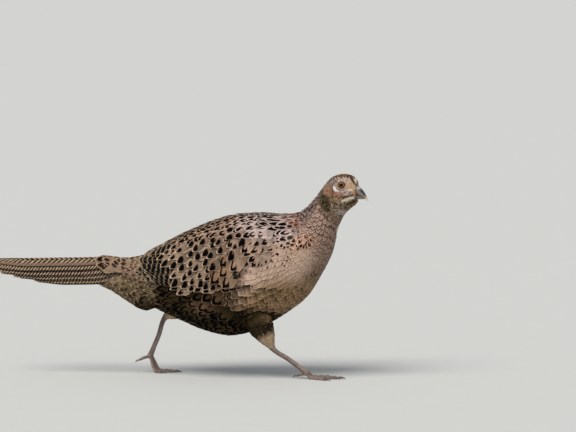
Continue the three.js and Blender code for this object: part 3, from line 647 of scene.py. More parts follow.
def feather_piece(name, reach, length, width, rise, look, home, material, seed, rows=7, columns=5, thick=0.5,
                  tilt=0.5, camber=0.12, ragged=0.05, shape=vane_width, slot="plumage_body", stands_for=(),
                  patch=(0.003, 0.003), sway=0.16, flip=1.0, relief=1.0):
    """Many feathers as one piece. reach gives their points from back, out and rise grids. length and width
    are in millimetres, rise is the pair at root and tip, look holds the colours of each feather or of each
    of its grid points, and home is its patch's middle on the OFBake map. A vane is as wide as shape says
    and arches by camber and tilts by tilt across its width, while ragged waves its edges and sway bends it
    sideways by chance. flip is -1 where the far edge is the lower one, relief scales how far the vane
    stands up, and stands_for names the CAD nodes that the piece replaces."""
    count = len(length)

    def grid(values):
        """A number for each feather, or one for all, ready to spread over their grids."""
        return np.broadcast_to(values, count)[:, None, None]

    u, v = vane_grid(rows, columns)
    chance = chances(seed, count, 6)
    phase, pitch, ripple, bend = (grid(chance[:, j]) for j in range(4))
    length, width, flip, relief, low, high = (grid(values) for values in (length, width, flip, relief, *rise))
    wave = np.sin(TAU * (phase + v * (1.3 + pitch)))
    half = width / 2 * shape(u)
    tip_round = 0.18 * np.minimum(1, 2 * width / length) * np.abs(v) ** 2.4 * u ** 3
    back = length * (u - tip_round + ragged * wave * u ** 4 * 0.6)
    out = half * v * (1 + ragged * np.cos(TAU * (ripple + 2.2 * u))) + (bend - 0.5) * sway * width * u ** 2
    arch = blend(low, high, u ** 0.8)
    arch = arch + relief * (camber * half * (1 - v ** 2) + tilt * flip * v * half / half.max())
    body = thick * (0.4 + 0.6 * relief) * (1 - v ** 2) * np.minimum(1, 6 * u * (1 - u) + 0.15)
    body = body * (u > 0) * (u < 1)
    points, quads, grid_index, on_rim = vane_mesh(reach(back, out, arch), reach(back, out, arch - body))
    piece = make_piece(name, *outwards(points, quads))
    sharpen_rims(piece, on_rim)

    def spread(values):
        """Values of each feather, or of each of its grid points, as values of every point of the mesh."""
        if len(values) == count:
            return np.repeat(values, len(grid_index), 0)
        return values.reshape(count, rows * columns, -1)[:, grid_index].reshape(count * len(grid_index), -1)

    sides = (np.broadcast_to(v * flip, (count, rows, columns)) + 1) / 2
    add_map(piece, "Vane", spread(np.stack([sides, np.broadcast_to(u, sides.shape)], -1).reshape(-1, 2)))
    flat = np.stack([(v.ravel() + 1) / 2, u.ravel()], -1)[grid_index]
    add_map(piece, "OFBake", (home[:, None, :] + (flat - 0.5) * patch).reshape(-1, 2))
    add_colour(piece, "base", spread(look["base"]))
    add_colour(piece, "fringe", spread(look["fringe"]))
    add_vector(piece, "mark", spread(look["mark"]))
    edging = [spread(values).ravel() for values in (look["glow"], look["edge"], chance[:, 4])]
    add_vector(piece, "edging", np.stack(edging, -1))
    return dress(piece, material, slot, *stands_for)


# Colours by place


# Each style of plumage: base and fringe colours, then the dark mark's strength, size and hollow, its rufous
# border, and the fringe's share of the half width.
STYLES = {
    "breast": ("breast", "breast_edge", 0.3, 0.34, 0.0, 0.12, 0.2),
    "ticks": ("breast", "breast_edge", 1.0, 0.85, 0.4, 0.35, 0.2),
    # front is painted shade: the lower front of the breast made darker and olive.
    "front": ("front", "breast_edge", 0.3, 0.5, 0.0, 0.0, 0.2),
    "shoulder": ("shoulder", "cream", 1.0, 1.5, 0.35, 0.3, 0.14),
    "mantle": ("lilac", "silver", 1.0, 1.6, 0.4, 0.25, 0.2),
    "chestnut": ("chestnut", "silver", 1.0, 1.0, 0.0, 1.0, 0.2),
    "back": ("back", "cream", 1.0, 1.7, 0.4, 0.35, 0.18),
    "covert": ("wing", "cream", 1.0, 1.35, 0.1, 0.15, 0.2),
    "flank": ("flank", "buff", 1.0, 1.8, 0.8, 0.25, 0.1),
    "tail_top": ("wing", "vent_edge", 1.0, 1.2, 0.1, 0.4, 0.2),
    # hind_flank takes the belly's colour, which carries painted shade.
    "hind_flank": ("belly", "buff", 1.0, 1.8, 0.8, 0.1, 0.08),
    "scallop": ("scallop_base", "buff", 0.3, 0.5, 0.9, 0.2, 0.16),
    # belly is the belly's own pattern darkened by painted shade; dark is near-black painted shade of the
    # lower belly and under the wing.
    "belly": ("belly", "belly_edge", 0.6, 1.4, 0.7, 0.0, 0.1),
    "dark": ("dark", "belly_edge", 1.0, 1.7, 0.7, 0.0, 0.07),
    "rump": ("rump", "vent_edge", 0.9, 1.15, 0.3, 0.25, 0.2),
    "vent": ("vent", "vent_edge", 0.7, 1.2, 0.6, 0.1, 0.2),
    "patch": ("rust", "breast", 1.0, 1.1, 0.4, 0.6, 0.2),
    "neck": ("neck", "neck_edge", 0.35, 0.5, 0.2, 0.1, 0.18),
    "nape": ("nape", "lilac", 0.85, 0.9, 0.0, 0.1, 0.22),
    "dusk": ("dusk", "throat", 0.7, 0.9, 0.0, 0.0, 0.12),
    "bib": ("bib", "silver", 0.2, 0.6, 0.0, 0.0, 0.3),
    "face": ("cheek", "buff", 0.8, 0.8, 0.0, 0.0, 0.3),
    "throat": ("throat", "cream", 0.75, 0.8, 0.0, 0.0, 0.3),
    "crown": ("crown", "buff", 0.8, 0.9, 0.0, 0.2, 0.3),
    "brow": ("brow", "lilac", 0.95, 0.7, 0.0, 0.0, 0.3),
    "pink_brow": ("pink_brow", "silver", 0.6, 0.6, 0.0, 0.0, 0.3),
    "stripe": ("stripe", "crown", 0.2, 0.8, 0.0, 0.0, 0.2),
    "peach": ("peach", "cream", 0.1, 0.6, 0.0, 0.0, 0.25),
    "orange": ("orange", "peach", 0.0, 0.6, 0.0, 0.0, 0.2),
    "ivory": ("ivory", "white", 0.0, 0.6, 0.0, 0.0, 0.2),
    "white": ("white", "white", 0.0, 0.6, 0.0, 0.0, 0.2),
    "ear": ("ear", "ear_edge", 0.4, 0.5, 0.0, 0.0, 0.2),
    "line": ("line", "line", 0.0, 0.6, 0.0, 0.0, 0.2),
    "bare": ("bare", "pink", 0.0, 0.6, 0.0, 0.0, 0.25),
}

# Layers of plumage over one another: style, middle x and z in the side view, reach along and across, how many
# degrees its long way rises forwards, and how soft its border is. The first of each list lies everywhere.
SHOULDER_LAYERS = [
    ("flank", 2, 158, 30, 15, 50, 0.35),
    ("ticks", 62, 180, 32, 32, -20, 0.35),
    ("shoulder", 38, 184, 36, 26, 40, 0.3),
    ("back", -10, 216, 95, 22, 14, 0.3),
    ("mantle", 62, 217, 50, 25, 2, 0.3),
]
BODY_LAYERS = [
    ("breast", 0, 0, 1, 1, 0, 0.1),
    # Painted shade down the front of the breast.
    ("front", 124, 140, 16, 46, -38, 0.5),
    ("scallop", 62, 112, 58, 26, 16, 0.4),
    # The belly and the dark layers after it paint shade over the lower body and hind belly.
    ("belly", 20, 64, 100, 27, 6, 0.35),
    ("dark", 40, 80, 34, 18, 0, 0.4),
    ("dark", -5, 72, 60, 24, 4, 0.35),
    ("dark", -62, 98, 68, 46, 8, 0.3),
    ("hind_flank", -14, 126, 42, 22, 35, 0.3),
    ("covert", -20, 188, 90, 24, 8, 0.3),
    *SHOULDER_LAYERS,
    ("chestnut", 95, 222, 9, 11, 20, 0.3),
    ("rump", -128, 160, 46, 26, 0, 0.3),
    ("tail_top", -196, 160, 48, 30, 0, 0.3),
    # Painted shadow: a near-black band under the wing's lower edge.
    ("dark", -60, 126, 56, 9, -2, 0.4),
    ("vent", -136, 116, 38, 25, 0, 0.3),
    ("patch", 106, 193, 18, 9, 10, 0.35),
]
WING_LAYERS = [
    ("covert", 0, 0, 1, 1, 0, 0.1),
    *SHOULDER_LAYERS,
]
NECK_LAYERS = [
    ("neck", 0, 0, 1, 1, 0, 0.1),
    ("nape", 110, 244, 34, 15, 58, 0.35),
    ("patch", 108, 194, 16, 9, 10, 0.4),
    ("bib", 161, 230, 7, 7, 0, 0.4),
    ("dusk", 139, 246, 9, 16, 20, 0.4),
]
HEAD_LAYERS = [
    ("face", 0, 0, 1, 1, 0, 0.1),
    ("nape", 132, 262, 16, 10, 62, 0.35),
    # The throat under the bill: olive, partly painted shade with a green cast of painted reflection.
    ("throat", 166, 241, 20, 8, 8, 0.35),
    ("dusk", 138, 247, 9, 13, 20, 0.4),
    ("bib", 162, 232, 8, 4.5, 0, 0.4),
    ("brow", 148, 275, 16, 9, 10, 0.3),
    ("pink_brow", 168, 276, 12, 8, -14, 0.3),
    ("crown", 156, 287, 26, 6, -2, 0.3),
    ("peach", 176, 269, 8, 8, -20, 0.3),
    ("pink_brow", 169, 262, 9, 5.5, -10, 0.4),
    ("stripe", 175.6, 279, 12, 1.25, -52, 0.35),
    ("ivory", 183.5, 278, 7, 4.4, -56, 0.2),
    ("ear", 143, 263.5, 7.4, 8.6, 10, 0.3),
    ("line", 150.6, 263, 1.3, 8, 8, 0.5),
    ("white", 153.8, 265.8, 2.3, 4.8, 32, 0.25),
    ("white", 157.4, 262.4, 3.4, 1.7, -30, 0.3),
    ("bare", 158.8, 259.2, 6.6, 2.5, -4, 0.35),
    ("orange", 171.7, 267, 2.6, 2.4, 0, 0.4),
    ("ivory", 174.4, 264.4, 3.8, 1.8, 8, 0.4),
    ("orange", 180, 259.6, 2.4, 1.6, 0, 0.4),
    ("line", 176, 246.6, 10, 1.4, 24, 0.5),
    ("line", 170, 255.4, 9, 0.9, 12, 0.5),
    ("ivory", 172.5, 251.6, 10.5, 2.2, 20, 0.25),
]


class HenColours(bpy.types.PropertyGroup):
    """The colours of the plumage."""


PLUMAGE = {
    "back": ("Back", (128, 106, 91)),
    "rump": ("Rump", (140, 114, 97)),
    "wing": ("Wing coverts", (112, 94, 79)),
    "shoulder": ("Shoulder", (148, 124, 109)),
    # A darker olive that paints the shade on the front of the breast.
    "front": ("Front of the breast", (94, 80, 54)),
    "cream": ("Pale edges of the back and wing", (186, 162, 138)),
    "buff": ("Buff edges", (170, 136, 106)),
    "flank": ("Flank", (124, 103, 82)),
    "scallop_base": ("Lower breast", (156, 128, 95)),
    "bib": ("Front of the throat", (148, 138, 124)),
    "cheek": ("Cheek", (136, 116, 90)),
    "pink_brow": ("Pink of the brow and lore", (202, 172, 158)),
    "stripe": ("Forehead stripe", (98, 60, 48)),
    "orange": ("Spot before the eye", (202, 138, 106)),
    "ivory": ("Pale stripe of the face", (228, 212, 182)),
    "line": ("Dark line of the face", (70, 48, 40)),
    "shin": ("Lower end of the thighs", (186, 158, 128)),
    "breast": ("Side breast", (202, 174, 154)),
    "breast_edge": ("Side breast edges", (182, 152, 132)),
    # Belly colours: the belly's own buff-brown with paler crescents, darkened by painted shade; the hind
    # belly's near black is all painted shade, also used for the painted shadow under the wing.
    "belly": ("Belly", (66, 51, 34)),
    "belly_edge": ("Belly edges", (98, 79, 50)),
    "dark": ("Hind belly", (32, 25, 14)),
    "vent": ("Under the tail", (98, 83, 61)),
    "vent_edge": ("Edges under the tail", (156, 136, 110)),
    "lilac": ("Mantle", (164, 143, 136)),
    "silver": ("Pale mantle edges", (206, 188, 180)),
    "chestnut": ("Chestnut of the mantle", (150, 84, 58)),
    "rust": ("Rust of the upper breast", (204, 156, 128)),
    "nape": ("Nape", (88, 72, 66)),
    "neck": ("Neck", (180, 150, 133)),
    "neck_edge": ("Neck edges", (72, 52, 44)),
    # Olive throat: partly its own colour, partly painted shade under the bill with a green cast of painted
    # reflection.
    "throat": ("Throat", (112, 100, 72)),
    "dusk": ("Shaded side of the neck", (61, 47, 37)),
    "brow": ("Brow", (136, 119, 112)),
    "crown": ("Crown", (84, 58, 46)),
    "peach": ("Lore", (222, 184, 146)),
    "white": ("White of the face", (232, 222, 214)),
    "ear": ("Ear coverts", (146, 108, 83)),
    "ear_edge": ("Ear covert edges", (162, 128, 106)),
    "bare": ("Bare skin of the face", (150, 58, 64)),
    "pink": ("Pink of the face", (196, 130, 120)),
}
for key, (title, tone) in PLUMAGE.items():
    HenColours.__annotations__[key] = bpy.props.FloatVectorProperty(
        name=title, description=f"Colour of this plumage: {title.lower()}", default=lit(*tone),
        subtype="COLOR", size=3, min=0.0, max=1.0)


class HenSizes(bpy.types.PropertyGroup):
    """The sizes of the plumage."""


MEASURES = {
    "skin_depth": ("Skin depth", "How deep the skin lies under the feathers of the body", 4.5),
    "breast_gap": ("Breast rows", "Distance between rows of breast feathers", 5.6),
    "scale_gap": ("Scale rows", "Distance between rows of feathers on the lower breast", 6.8),
    "back_gap": ("Back rows", "Distance between rows of mantle and back feathers", 9.5),
    "flank_gap": ("Flank rows", "Distance between rows of flank and belly feathers", 12.5),
    "neck_gap": ("Neck rows", "Distance between rows of neck feathers", 6.4),
    "head_gap": ("Head rows", "Distance between rows of head feathers", 2.5),
    "covert_gap": ("Covert rows", "Distance between wing coverts along the wing", 12.4),
    "covert_step": ("Covert columns", "Distance between wing coverts across the wing", 9.3),
    "covert_length": ("Covert length", "Length of a wing covert", 33.0),
    "covert_width": ("Covert width", "Width of a wing covert", 14.5),
    "plume_gap": ("Plume rows", "Distance between the flank plumes along the body", 14.0),
    "plume_step": ("Plume columns", "Distance between the flank plumes across their rows", 12.5),
    "plume_length": ("Plume length", "Length of a flank plume", 40.0),
    "plume_width": ("Plume width", "Width of a flank plume", 19.0),
    "wing_lift": ("Wing lift", "How far the folded wing stands over the flank", 6.0),
}
for key, (title, meaning, size) in MEASURES.items():
    HenSizes.__annotations__[key] = bpy.props.FloatProperty(
        name=title, description=meaning, default=size * MM, min=0.0, unit="LENGTH")


def measure(name):
    """One of the sizes, in millimetres."""
    return getattr(bpy.context.scene.hen_sizes, name) / MM


def oval(x, z, middle_x, middle_z, long, short, rise):
    """How far out places of the side view lie in an ellipse whose long way rises forwards by so many
    degrees: 0 at its middle and 1 on its border."""
    c = np.cos(np.radians(rise))
    s = np.sin(np.radians(rise))
    along = ((x - middle_x) * c + (z - middle_z) * s) / long
    across = ((z - middle_z) * c - (x - middle_x) * s) / short
    return np.hypot(along, across)


def layer_look(layers, x, z):
    """The look at places of the side view: each layer over the ones before it, by its share, which falls
    smoothly from 1 to 0 across the border of its ellipse."""
    colours = bpy.context.scene.hen_colours
    rows = {}
    for name in {layer[0] for layer in layers}:
        base, fringe, *numbers = STYLES[name]
        rows[name] = np.concatenate([getattr(colours, base), getattr(colours, fringe), numbers])
    values = np.tile(rows[layers[0][0]], (len(x), 1))
    for name, *ellipse_place, soft in layers[1:]:
        share = 1 - smooth(oval(x, z, *ellipse_place), 1 - soft, 1 + soft)
        values = blend(values, rows[name], share[:, None])
    return {
        "base": values[:, :3],
        "fringe": values[:, 3:6],
        "mark": values[:, 6:9],
        "glow": values[:, 9],
        "edge": values[:, 10],
    }


def body_look(place, point):
    """The look of the torso, neck and head, mixed over the two joins."""
    x, z = point[:, 0], point[:, 2]
    to_neck = smooth(place, 9.0, 10.4)
    to_head = smooth(place, 13.0, 13.9)
    shares = [1 - to_neck, to_neck * (1 - to_head), to_neck * to_head]
    mixed = {}
    for layers, share in zip((BODY_LAYERS, NECK_LAYERS, HEAD_LAYERS), shares):
        for key, value in layer_look(layers, x, z).items():
            part = value * (share[:, None] if value.ndim > 1 else share)
            mixed[key] = mixed.get(key, 0) + part
    return mixed


def wing_lift(x, z):
    """How far the folded wing stands over the flank: full inside its outline, falling away in front,
    towards the back's line and behind, and ending at its lower edge."""
    under = np.interp(x, SECTIONS[:, 0], SECTIONS[:, 1]) - z
    lift = smooth(104 - x, 0, 70) * smooth(z, 112, 124) * smooth(under, 2, 26) * smooth(x + 135, 0, 30)
    return measure("wing_lift") * lift


def meridian_roots(first, last, count, spacing, seed):
    """Places and angles of roots in rows along the body: on each of count meridians the roots stand where the
    surface length divided by the spacing is a whole number, or a half one on every second meridian."""
    fine = np.linspace(first, last, 400)
    chance = np.random.default_rng(seed)
    places, angles = [], []
    for j in range(count):
        angle = TAU * (j + 0.5) / count
        line = body_surface(fine, np.full(fine.shape, angle))
        length = np.linalg.norm(np.diff(line, axis=0), axis=1)
        q = np.concatenate([[0], np.cumsum(length / spacing)])
        marks = np.arange(0.5 * (j % 2), q[-1], 1.0)
        marks = marks + (chance.random(len(marks)) - 0.5) * 0.42
        places.append(np.interp(marks, q, fine))
        angles.append(angle + (chance.random(len(marks)) - 0.5) * TAU / count * 0.3)
    return np.concatenate(places), np.concatenate(angles)


# The stage


class HenStage(bpy.types.PropertyGroup):
    """The floor, lights and camera."""

    floor: bpy.props.FloatVectorProperty(
        name="Floor", description="Colour of the floor", default=(0.5, 0.5, 0.49), subtype="COLOR", size=3)
    key: bpy.props.FloatProperty(
        name="Key light", description="Strength of the light from above", default=3.2, min=0.0)
    sky: bpy.props.FloatProperty(
        name="Sky", description="Strength of the light from all round", default=0.5, min=0.0)
    turn: bpy.props.FloatProperty(
        name="Camera turn", description="The camera's turn round the bird", default=np.radians(5.0),
        subtype="ANGLE")
    climb: bpy.props.FloatProperty(
        name="Camera height", description="The camera's angle over the horizon", default=np.radians(5.0),
        subtype="ANGLE")
    distance: bpy.props.FloatProperty(
        name="Camera distance", description="From the camera to the bird", default=6.0, unit="LENGTH")


FRAME_WIDTH = 0.8064  # what the picture takes in at the bird, in metres
AIM = (81.2, -26.7, 224.0)  # what the camera looks at, across, away and up the view, in millimetres
SENSOR = 36.0
FLOOR_REACH = 60.0
SUN_WAY = (0.42, 0.5, -1.0)
SUN_SPREAD = np.radians(35)
SUN_COLOUR = (1.0, 0.97, 0.92)
SKY_COLOUR = (0.9, 0.95, 1.0, 1.0)


def make_floor(colour):
    """A wide flat sheet at the height of the soles."""
    corner = FLOOR_REACH / MM
    points = np.array([[-1, -1, 0], [1, -1, 0], [1, 1, 0], [-1, 1, 0]]) * corner
    floor = make_piece("floor", points - SHIFT * (1, 1, 0), np.array([[0, 1, 2, 3]]))
    paint = Paint("floor")
    shade = paint.scaled(colour, paint.noise(30.0, 3.0) * 0.04 + 0.98)
    floor.data.materials.append(paint.finish({"Base Color": shade, "Roughness": 0.85}))
    return floor


def add_facing(name, data, facing, place=(0, 0, 0)):
    """A camera or light at a place, facing along a vector."""
    made = bpy.data.objects.new(name, data)
    made.location = place
    made.rotation_euler = Vector(facing).to_track_quat("-Z", "Y").to_euler()
    bpy.context.scene.collection.objects.link(made)
    return made


class HEN_OT_stage(bpy.types.Operator):
    """Make the floor, the lights and the camera"""

    bl_idname = "hen.stage"
    bl_label = "Stage"

    def execute(self, context):
        scene = context.scene
        values = scene.hen_stage
        make_floor(tuple(values.floor))
        right = np.array([np.cos(values.turn), np.sin(values.turn), 0])
        level = np.cross(UP, right)
        up = np.sin(values.climb) * level + np.cos(values.climb) * UP
        away = np.cos(values.climb) * level - np.sin(values.climb) * UP
        target = (AIM[0] * right + AIM[1] * away + AIM[2] * up + SHIFT) * MM
        view = bpy.data.cameras.new("camera")
        view.sensor_width = SENSOR
        view.lens = SENSOR * values.distance / FRAME_WIDTH
        view.clip_end = 4 * FLOOR_REACH
        scene.camera = add_facing("camera", view, away, target - away * values.distance)
        sun = bpy.data.lights.new("key", "SUN")
        sun.energy = values.key
        sun.angle = SUN_SPREAD
        sun.color = SUN_COLOUR
        add_facing("key", sun, SUN_WAY)
        world = bpy.data.worlds.new("sky")
        world.use_nodes = True
        background = world.node_tree.nodes["Background"]
        background.inputs["Color"].default_value = SKY_COLOUR
        background.inputs["Strength"].default_value = values.sky
        scene.world = world
        scene.view_settings.view_transform = "Standard"
        return {"FINISHED"}


def torso_core():
    """The closed skin of the torso, neck and head, inside the coat. Its side_view attribute holds each
    point's x and z before the head's turn, and between them its place along the sections plus one."""
    place, angle = np.broadcast_arrays(np.linspace(0.0, SKIN_END, 220)[:, None], turns(96))
    depth = blend(measure("skin_depth"), 0.8, smooth(place, 9.5, 14.0)) + 1.4 * smooth(place, 17.4, SKIN_END)
    piece = make_piece("skin", *outwards(*tube(body_skin(place, angle, -depth))))
    flat = body_surface(place, angle)
    flat = np.concatenate([flat.reshape(-1, 3), [flat[0].mean(0), flat[-1].mean(0)]])
    rank = np.concatenate([place.ravel(), place[[0, -1], 0]])
    add_vector(piece, "side_view", np.stack([flat[:, 0], rank + 1, flat[:, 2]], -1))
    return piece


def thigh_core(name, hip, heel):
    """The closed skin of an upper leg."""
    surface, _ = thigh_surface(hip, heel)
    share, angle = np.broadcast_arrays(np.linspace(0.02, 1.03, 40)[:, None], turns(48))
    return make_piece(name, *outwards(*tube(lifted(surface, share, angle, -1.6))))


def unite(piece, others):
    """Joins closed pieces to the first by a union and removes them."""
    for other in others:
        union = piece.modifiers.new("union", "BOOLEAN")
        union.operation = "UNION"
        union.solver = "EXACT"
        union.object = other
    joined = bpy.data.meshes.new_from_object(piece.evaluated_get(bpy.context.evaluated_depsgraph_get()))
    piece.modifiers.clear()
    piece.data = joined
    for other in others:
        bpy.data.objects.remove(other)


def read_vectors(data, count):
    """Three numbers for each of count points, from a mesh's attribute."""
    values = np.zeros(count * 3, np.float32)
    data.foreach_get("vector", values)
    return values.reshape(-1, 3)


def skin_material():
    """Skin in the plumage's colours, darkened as painted shade where it shows between the feathers, with fine
    grain, and red with pimples where the face is bare."""
    paint = Paint("skin")
    spots = paint.noise(90.0, 3.0)
    fine = paint.noise(900.0, 3.0)
    pimple = paint.node("ShaderNodeTexVoronoi", {}, {"Vector": paint.where(), "Scale": 1500.0})
    strength, _, _ = paint.attribute("mark").parts()
    naked, _, _ = paint.attribute("bare").parts()
    colour = paint.mix(spots.step(0.45, 0.6), paint.attribute("base", True), paint.attribute("fringe", True))
    colour = paint.mix(spots.step(0.42, 0.36) * strength, colour, lit(32, 24, 20))
    # Painted shade: the skin is darkened so that gaps between feathers read as shaded depths.
    colour = paint.scaled(colour, 0.45 + fine * 0.3)
    red = paint.mix(pimple.step(0.5, 0.15), lit(130, 52, 54), lit(186, 112, 104))
    return paint.finish({
        "Base Color": paint.mix(naked.step(0.3, 0.6), colour, red),
        "Roughness": 0.75,
        "Normal": paint.bump(fine * (1 - naked) - pimple * naked, 0.0004),
    })


class HEN_OT_skin(bpy.types.Operator):
    """Make one skin of the torso, neck, head and upper legs"""

    bl_idname = "hen.skin"
    bl_label = "Skin"

    def execute(self, context):
        piece = torso_core()
        unite(piece, [thigh_core(f"{side}_thigh", hip, heel) for side, (_, hip, heel, _, _) in LEGS.items()])
        mesh = piece.data
        count = len(mesh.vertices)
        now = read_vectors(mesh.attributes["position"].data, count) / MM - SHIFT
        side_view = read_vectors(mesh.attributes["side_view"].data, count)
        on_leg = side_view[:, 1] < 1
        flat = np.where(on_leg[:, None], now, side_view * (1, 0, 1) + now * (0, 1, 0))
        rank = np.where(on_leg, 5.0, side_view[:, 1] - 1)
        look = body_look(rank, flat)
        low_leg = np.where(on_leg, smooth(88 - flat[:, 2], 0, 30), 0)[:, None]
        add_colour(piece, "base", blend(look["base"], np.array(context.scene.hen_colours.shin), low_leg))
        add_colour(piece, "fringe", look["fringe"])
        add_vector(piece, "mark", look["mark"])
        bare = bare_face(flat[:, 0], flat[:, 2], 0.2, 2.2) * (rank > 13)
        add_vector(piece, "bare", np.stack([bare] * 3, -1))
        mesh.attributes.remove(mesh.attributes["side_view"])
        mesh.materials.clear()
        dress(piece, skin_material(), "plumage_body", "torso", "neck", "head", "thigh_right", "thigh_left")
        mesh.shade_smooth()
        return {"FINISHED"}


# In the side view, z and x of the breast's hind edge, and x and z of the back's lower edge.
BREAST_EDGE = [[60, 82], [75, 66], [92, 42], [105, 14], [118, 2], [130, 9], [150, 28], [180, 46], [196, 66],
               [206, 92], [240, 128]]
BACK_EDGE = [[-150, 176], [-98, 168], [-60, 180], [-20, 190], [20, 192], [40, 176], [70, 176], [94, 200],
             [130, 214]]

# The tracts of the torso. Scales are the feathers of the lower breast.
BACK, FLANK, BREAST, SCALES = range(4)


def tract_of(x, z):
    """Which tract a place of the side view belongs to."""
    breast = x > np.interp(z, *np.array(BREAST_EDGE).T)
    back = z > np.interp(x, *np.array(BACK_EDGE).T)
    low = (z < 140) & (x < 116)
    return np.where(back, BACK, np.where(breast, np.where(low, SCALES, BREAST), FLANK))


def body_heading(place, angle):
    """The lie of the body's feathers: back along the body, and falling on its sides, most on the flank."""
    e = 0.05
    back = unit(body_surface(place - e, angle) - body_surface(place + e, angle))
    side = np.abs(np.sin(angle))
    point = body_surface(place, angle)
    x, z = point[:, 0], point[:, 2]
    fall = 0.35 + 0.5 * smooth(x, -70, 0) * smooth(215 - z, 0, 40)
    fall = fall * smooth(x, -140, -60) * (1 - 0.8 * smooth(place, 10.5, 13.0))
    back[:, 2] -= fall * side
    return unit(back)


# Each tract of the torso: meridians, rows' distance, length and width in rows and meridians, how far its
# vanes stand up, how light their covered ends are, partly grey down and partly painted shade under the
# feathers above, and where that darkening clears.
TRACTS = {
    BACK: ("back_feathers", 50, "back_gap", 2.7, 1.6, 0.8, 0.5, 0.66),
    FLANK: ("flank_feathers", 36, "flank_gap", 2.9, 1.75, 1.0, 0.5, 0.66),
    BREAST: ("breast_feathers", 74, "breast_gap", 2.9, 1.7, 0.2, 0.85, 0.85),
    # The lower breast's scales stay dark far towards the tip: painted shadow under the tip of each scale
    # above.
    SCALES: ("scale_feathers", 50, "scale_gap", 2.6, 1.55, 0.6, 0.3, 0.97),
}
INK = lit(3, 2, 2)
RUFOUS = lit(140, 78, 48)
UNMARKED = 0.2  # the share of breast feathers that have no mark


class HEN_OT_body(bpy.types.Operator):
    """Lay the feathers of the torso"""

    bl_idname = "hen.body"
    bl_label = "Torso feathers"

    def execute(self, context):
        for tract, (name, around, gap, long, wide, relief, root, clear) in TRACTS.items():
            spacing = measure(gap)
            place, angle = meridian_roots(-0.6, 10.4, around, spacing, 3 + tract)
            point = body_surface(place, angle)
            x, z = point[:, 0], point[:, 2]
            covered = in_wing(x, z) & in_wing(x + 14, z) & in_wing(x, z + 9) & (np.abs(np.sin(angle)) > 0.2)
            keep = (tract_of(x, z) == tract) & ~covered
            roots = body_roots(place[keep], angle[keep])
            x, z = roots.side_view()
            chance = chances(4 + tract, len(x), 4)
            length = spacing * long * (0.9 + 0.2 * chance[:, 0]) * blend(1, 0.8, smooth(-x, 70, 130))
            width = np.maximum(ring_width(roots.a, around) * wide, spacing * 0.9)
            width = width * (0.92 + 0.16 * chance[:, 1])
            lift = wing_lift(x, z) * (smooth(x, -30, 10) if tract == FLANK else smooth(x, -70, -40))
            rise = (lift - blend(1.0, 4.4, relief), lift + blend(0.08, 0.5, relief) * chance[:, 2])
            look = body_look(roots.a, roots.ahead(length * SEEN))
            if tract == BREAST:
                marked = chance[:, 3] > UNMARKED
                look["mark"] *= np.stack([marked, np.full(len(x), 1.35), np.ones(len(x))], -1)
                look["glow"] = look["glow"] * marked
            feather_piece(
                name, coat_reach(roots), length, width, rise, look, body_home(roots),
                feather_material(name, INK, RUFOUS, 0.0, root, clear), 5 + tract, thick=0.45,
                flip=-np.sign(np.sin(roots.b)), relief=relief)
        return {"FINISHED"}


def body_roots(place, angle):
    """Roots on the body's surface, whose feathers lie as the body's do."""
    return Roots(body_surface, place, angle, body_heading(place, angle))


def body_home(roots):
    """The middles of small patches on the OFBake map: the body's surface, unrolled."""
    return np.stack([roots.a / LAST_SECTION, (roots.b / TAU) % 1], -1)


def coat_reach(roots):
    """Points of feathers on the body's surface, turned with the head."""
    def reach(back, out, rise):
        points = roots.reach(back, out, rise)
        share = smooth(roots.a[:, None, None] + roots.lie[:, 0, None, None] * back, TURN_FROM, TURN_TO)
        return turned(points, share)
    return reach


def ring_width(place, count):
    """The distance between neighbouring meridians, from the circumference of a section."""
    bx, bz, vx, vz, half = np.moveaxis(section(place)[..., :5], -1, 0)
    tall = np.hypot(bx - vx, bz - vz) / 2
    return TAU * np.sqrt((half ** 2 + tall ** 2) / 2) / count


def bare_face(x, z, soft=0.01, grow=0.0):
    """How far a place of the face has no feathers: 1 on the eye and on the red skin under it."""
    eye = np.hypot(x - EYE[0], z - EYE[1]) / (6.0 + grow * 0.3)
    skin = np.hypot((x - 158.6) / (4.8 + grow), (z - 259.4 + 0.07 * (x - 158.6)) / (1.5 + grow))
    return 1 - smooth(np.minimum(eye, skin), 1 - soft, 1 + soft)


# Each tract of the neck and head: the sections that it spans, meridians, rows' distance, length and width
# in rows and meridians, heights over the surface at root and tip and the most that chance adds at the tip,
# thickness, how far its vanes stand up, grid rows, slot, how light covered ends are, partly grey down and
# partly painted shade under the feathers above, where that darkening clears, the scale of patches over
# several feathers, and the seed.
NECK_TRACTS = {
    # The neck's covered ends stay dark into their bare part: painted shade under each row above.
    "neck_feathers": (
        (9.6, 14.0), 27, "neck_gap", 2.6, 1.4, (-3.2, 0.2, 0.35), 0.35, 0.8, 7,
        "plumage_body", 0.3, 0.84, 0, 11),
    "head_feathers": (
        (13.2, 18.5), 64, "head_gap", 2.6, 1.8, (-1.2, 0.15, 0.12), 0.2, 0.3, 5,
        "plumage_head", 0.75, 0.66, 400, 13),
}


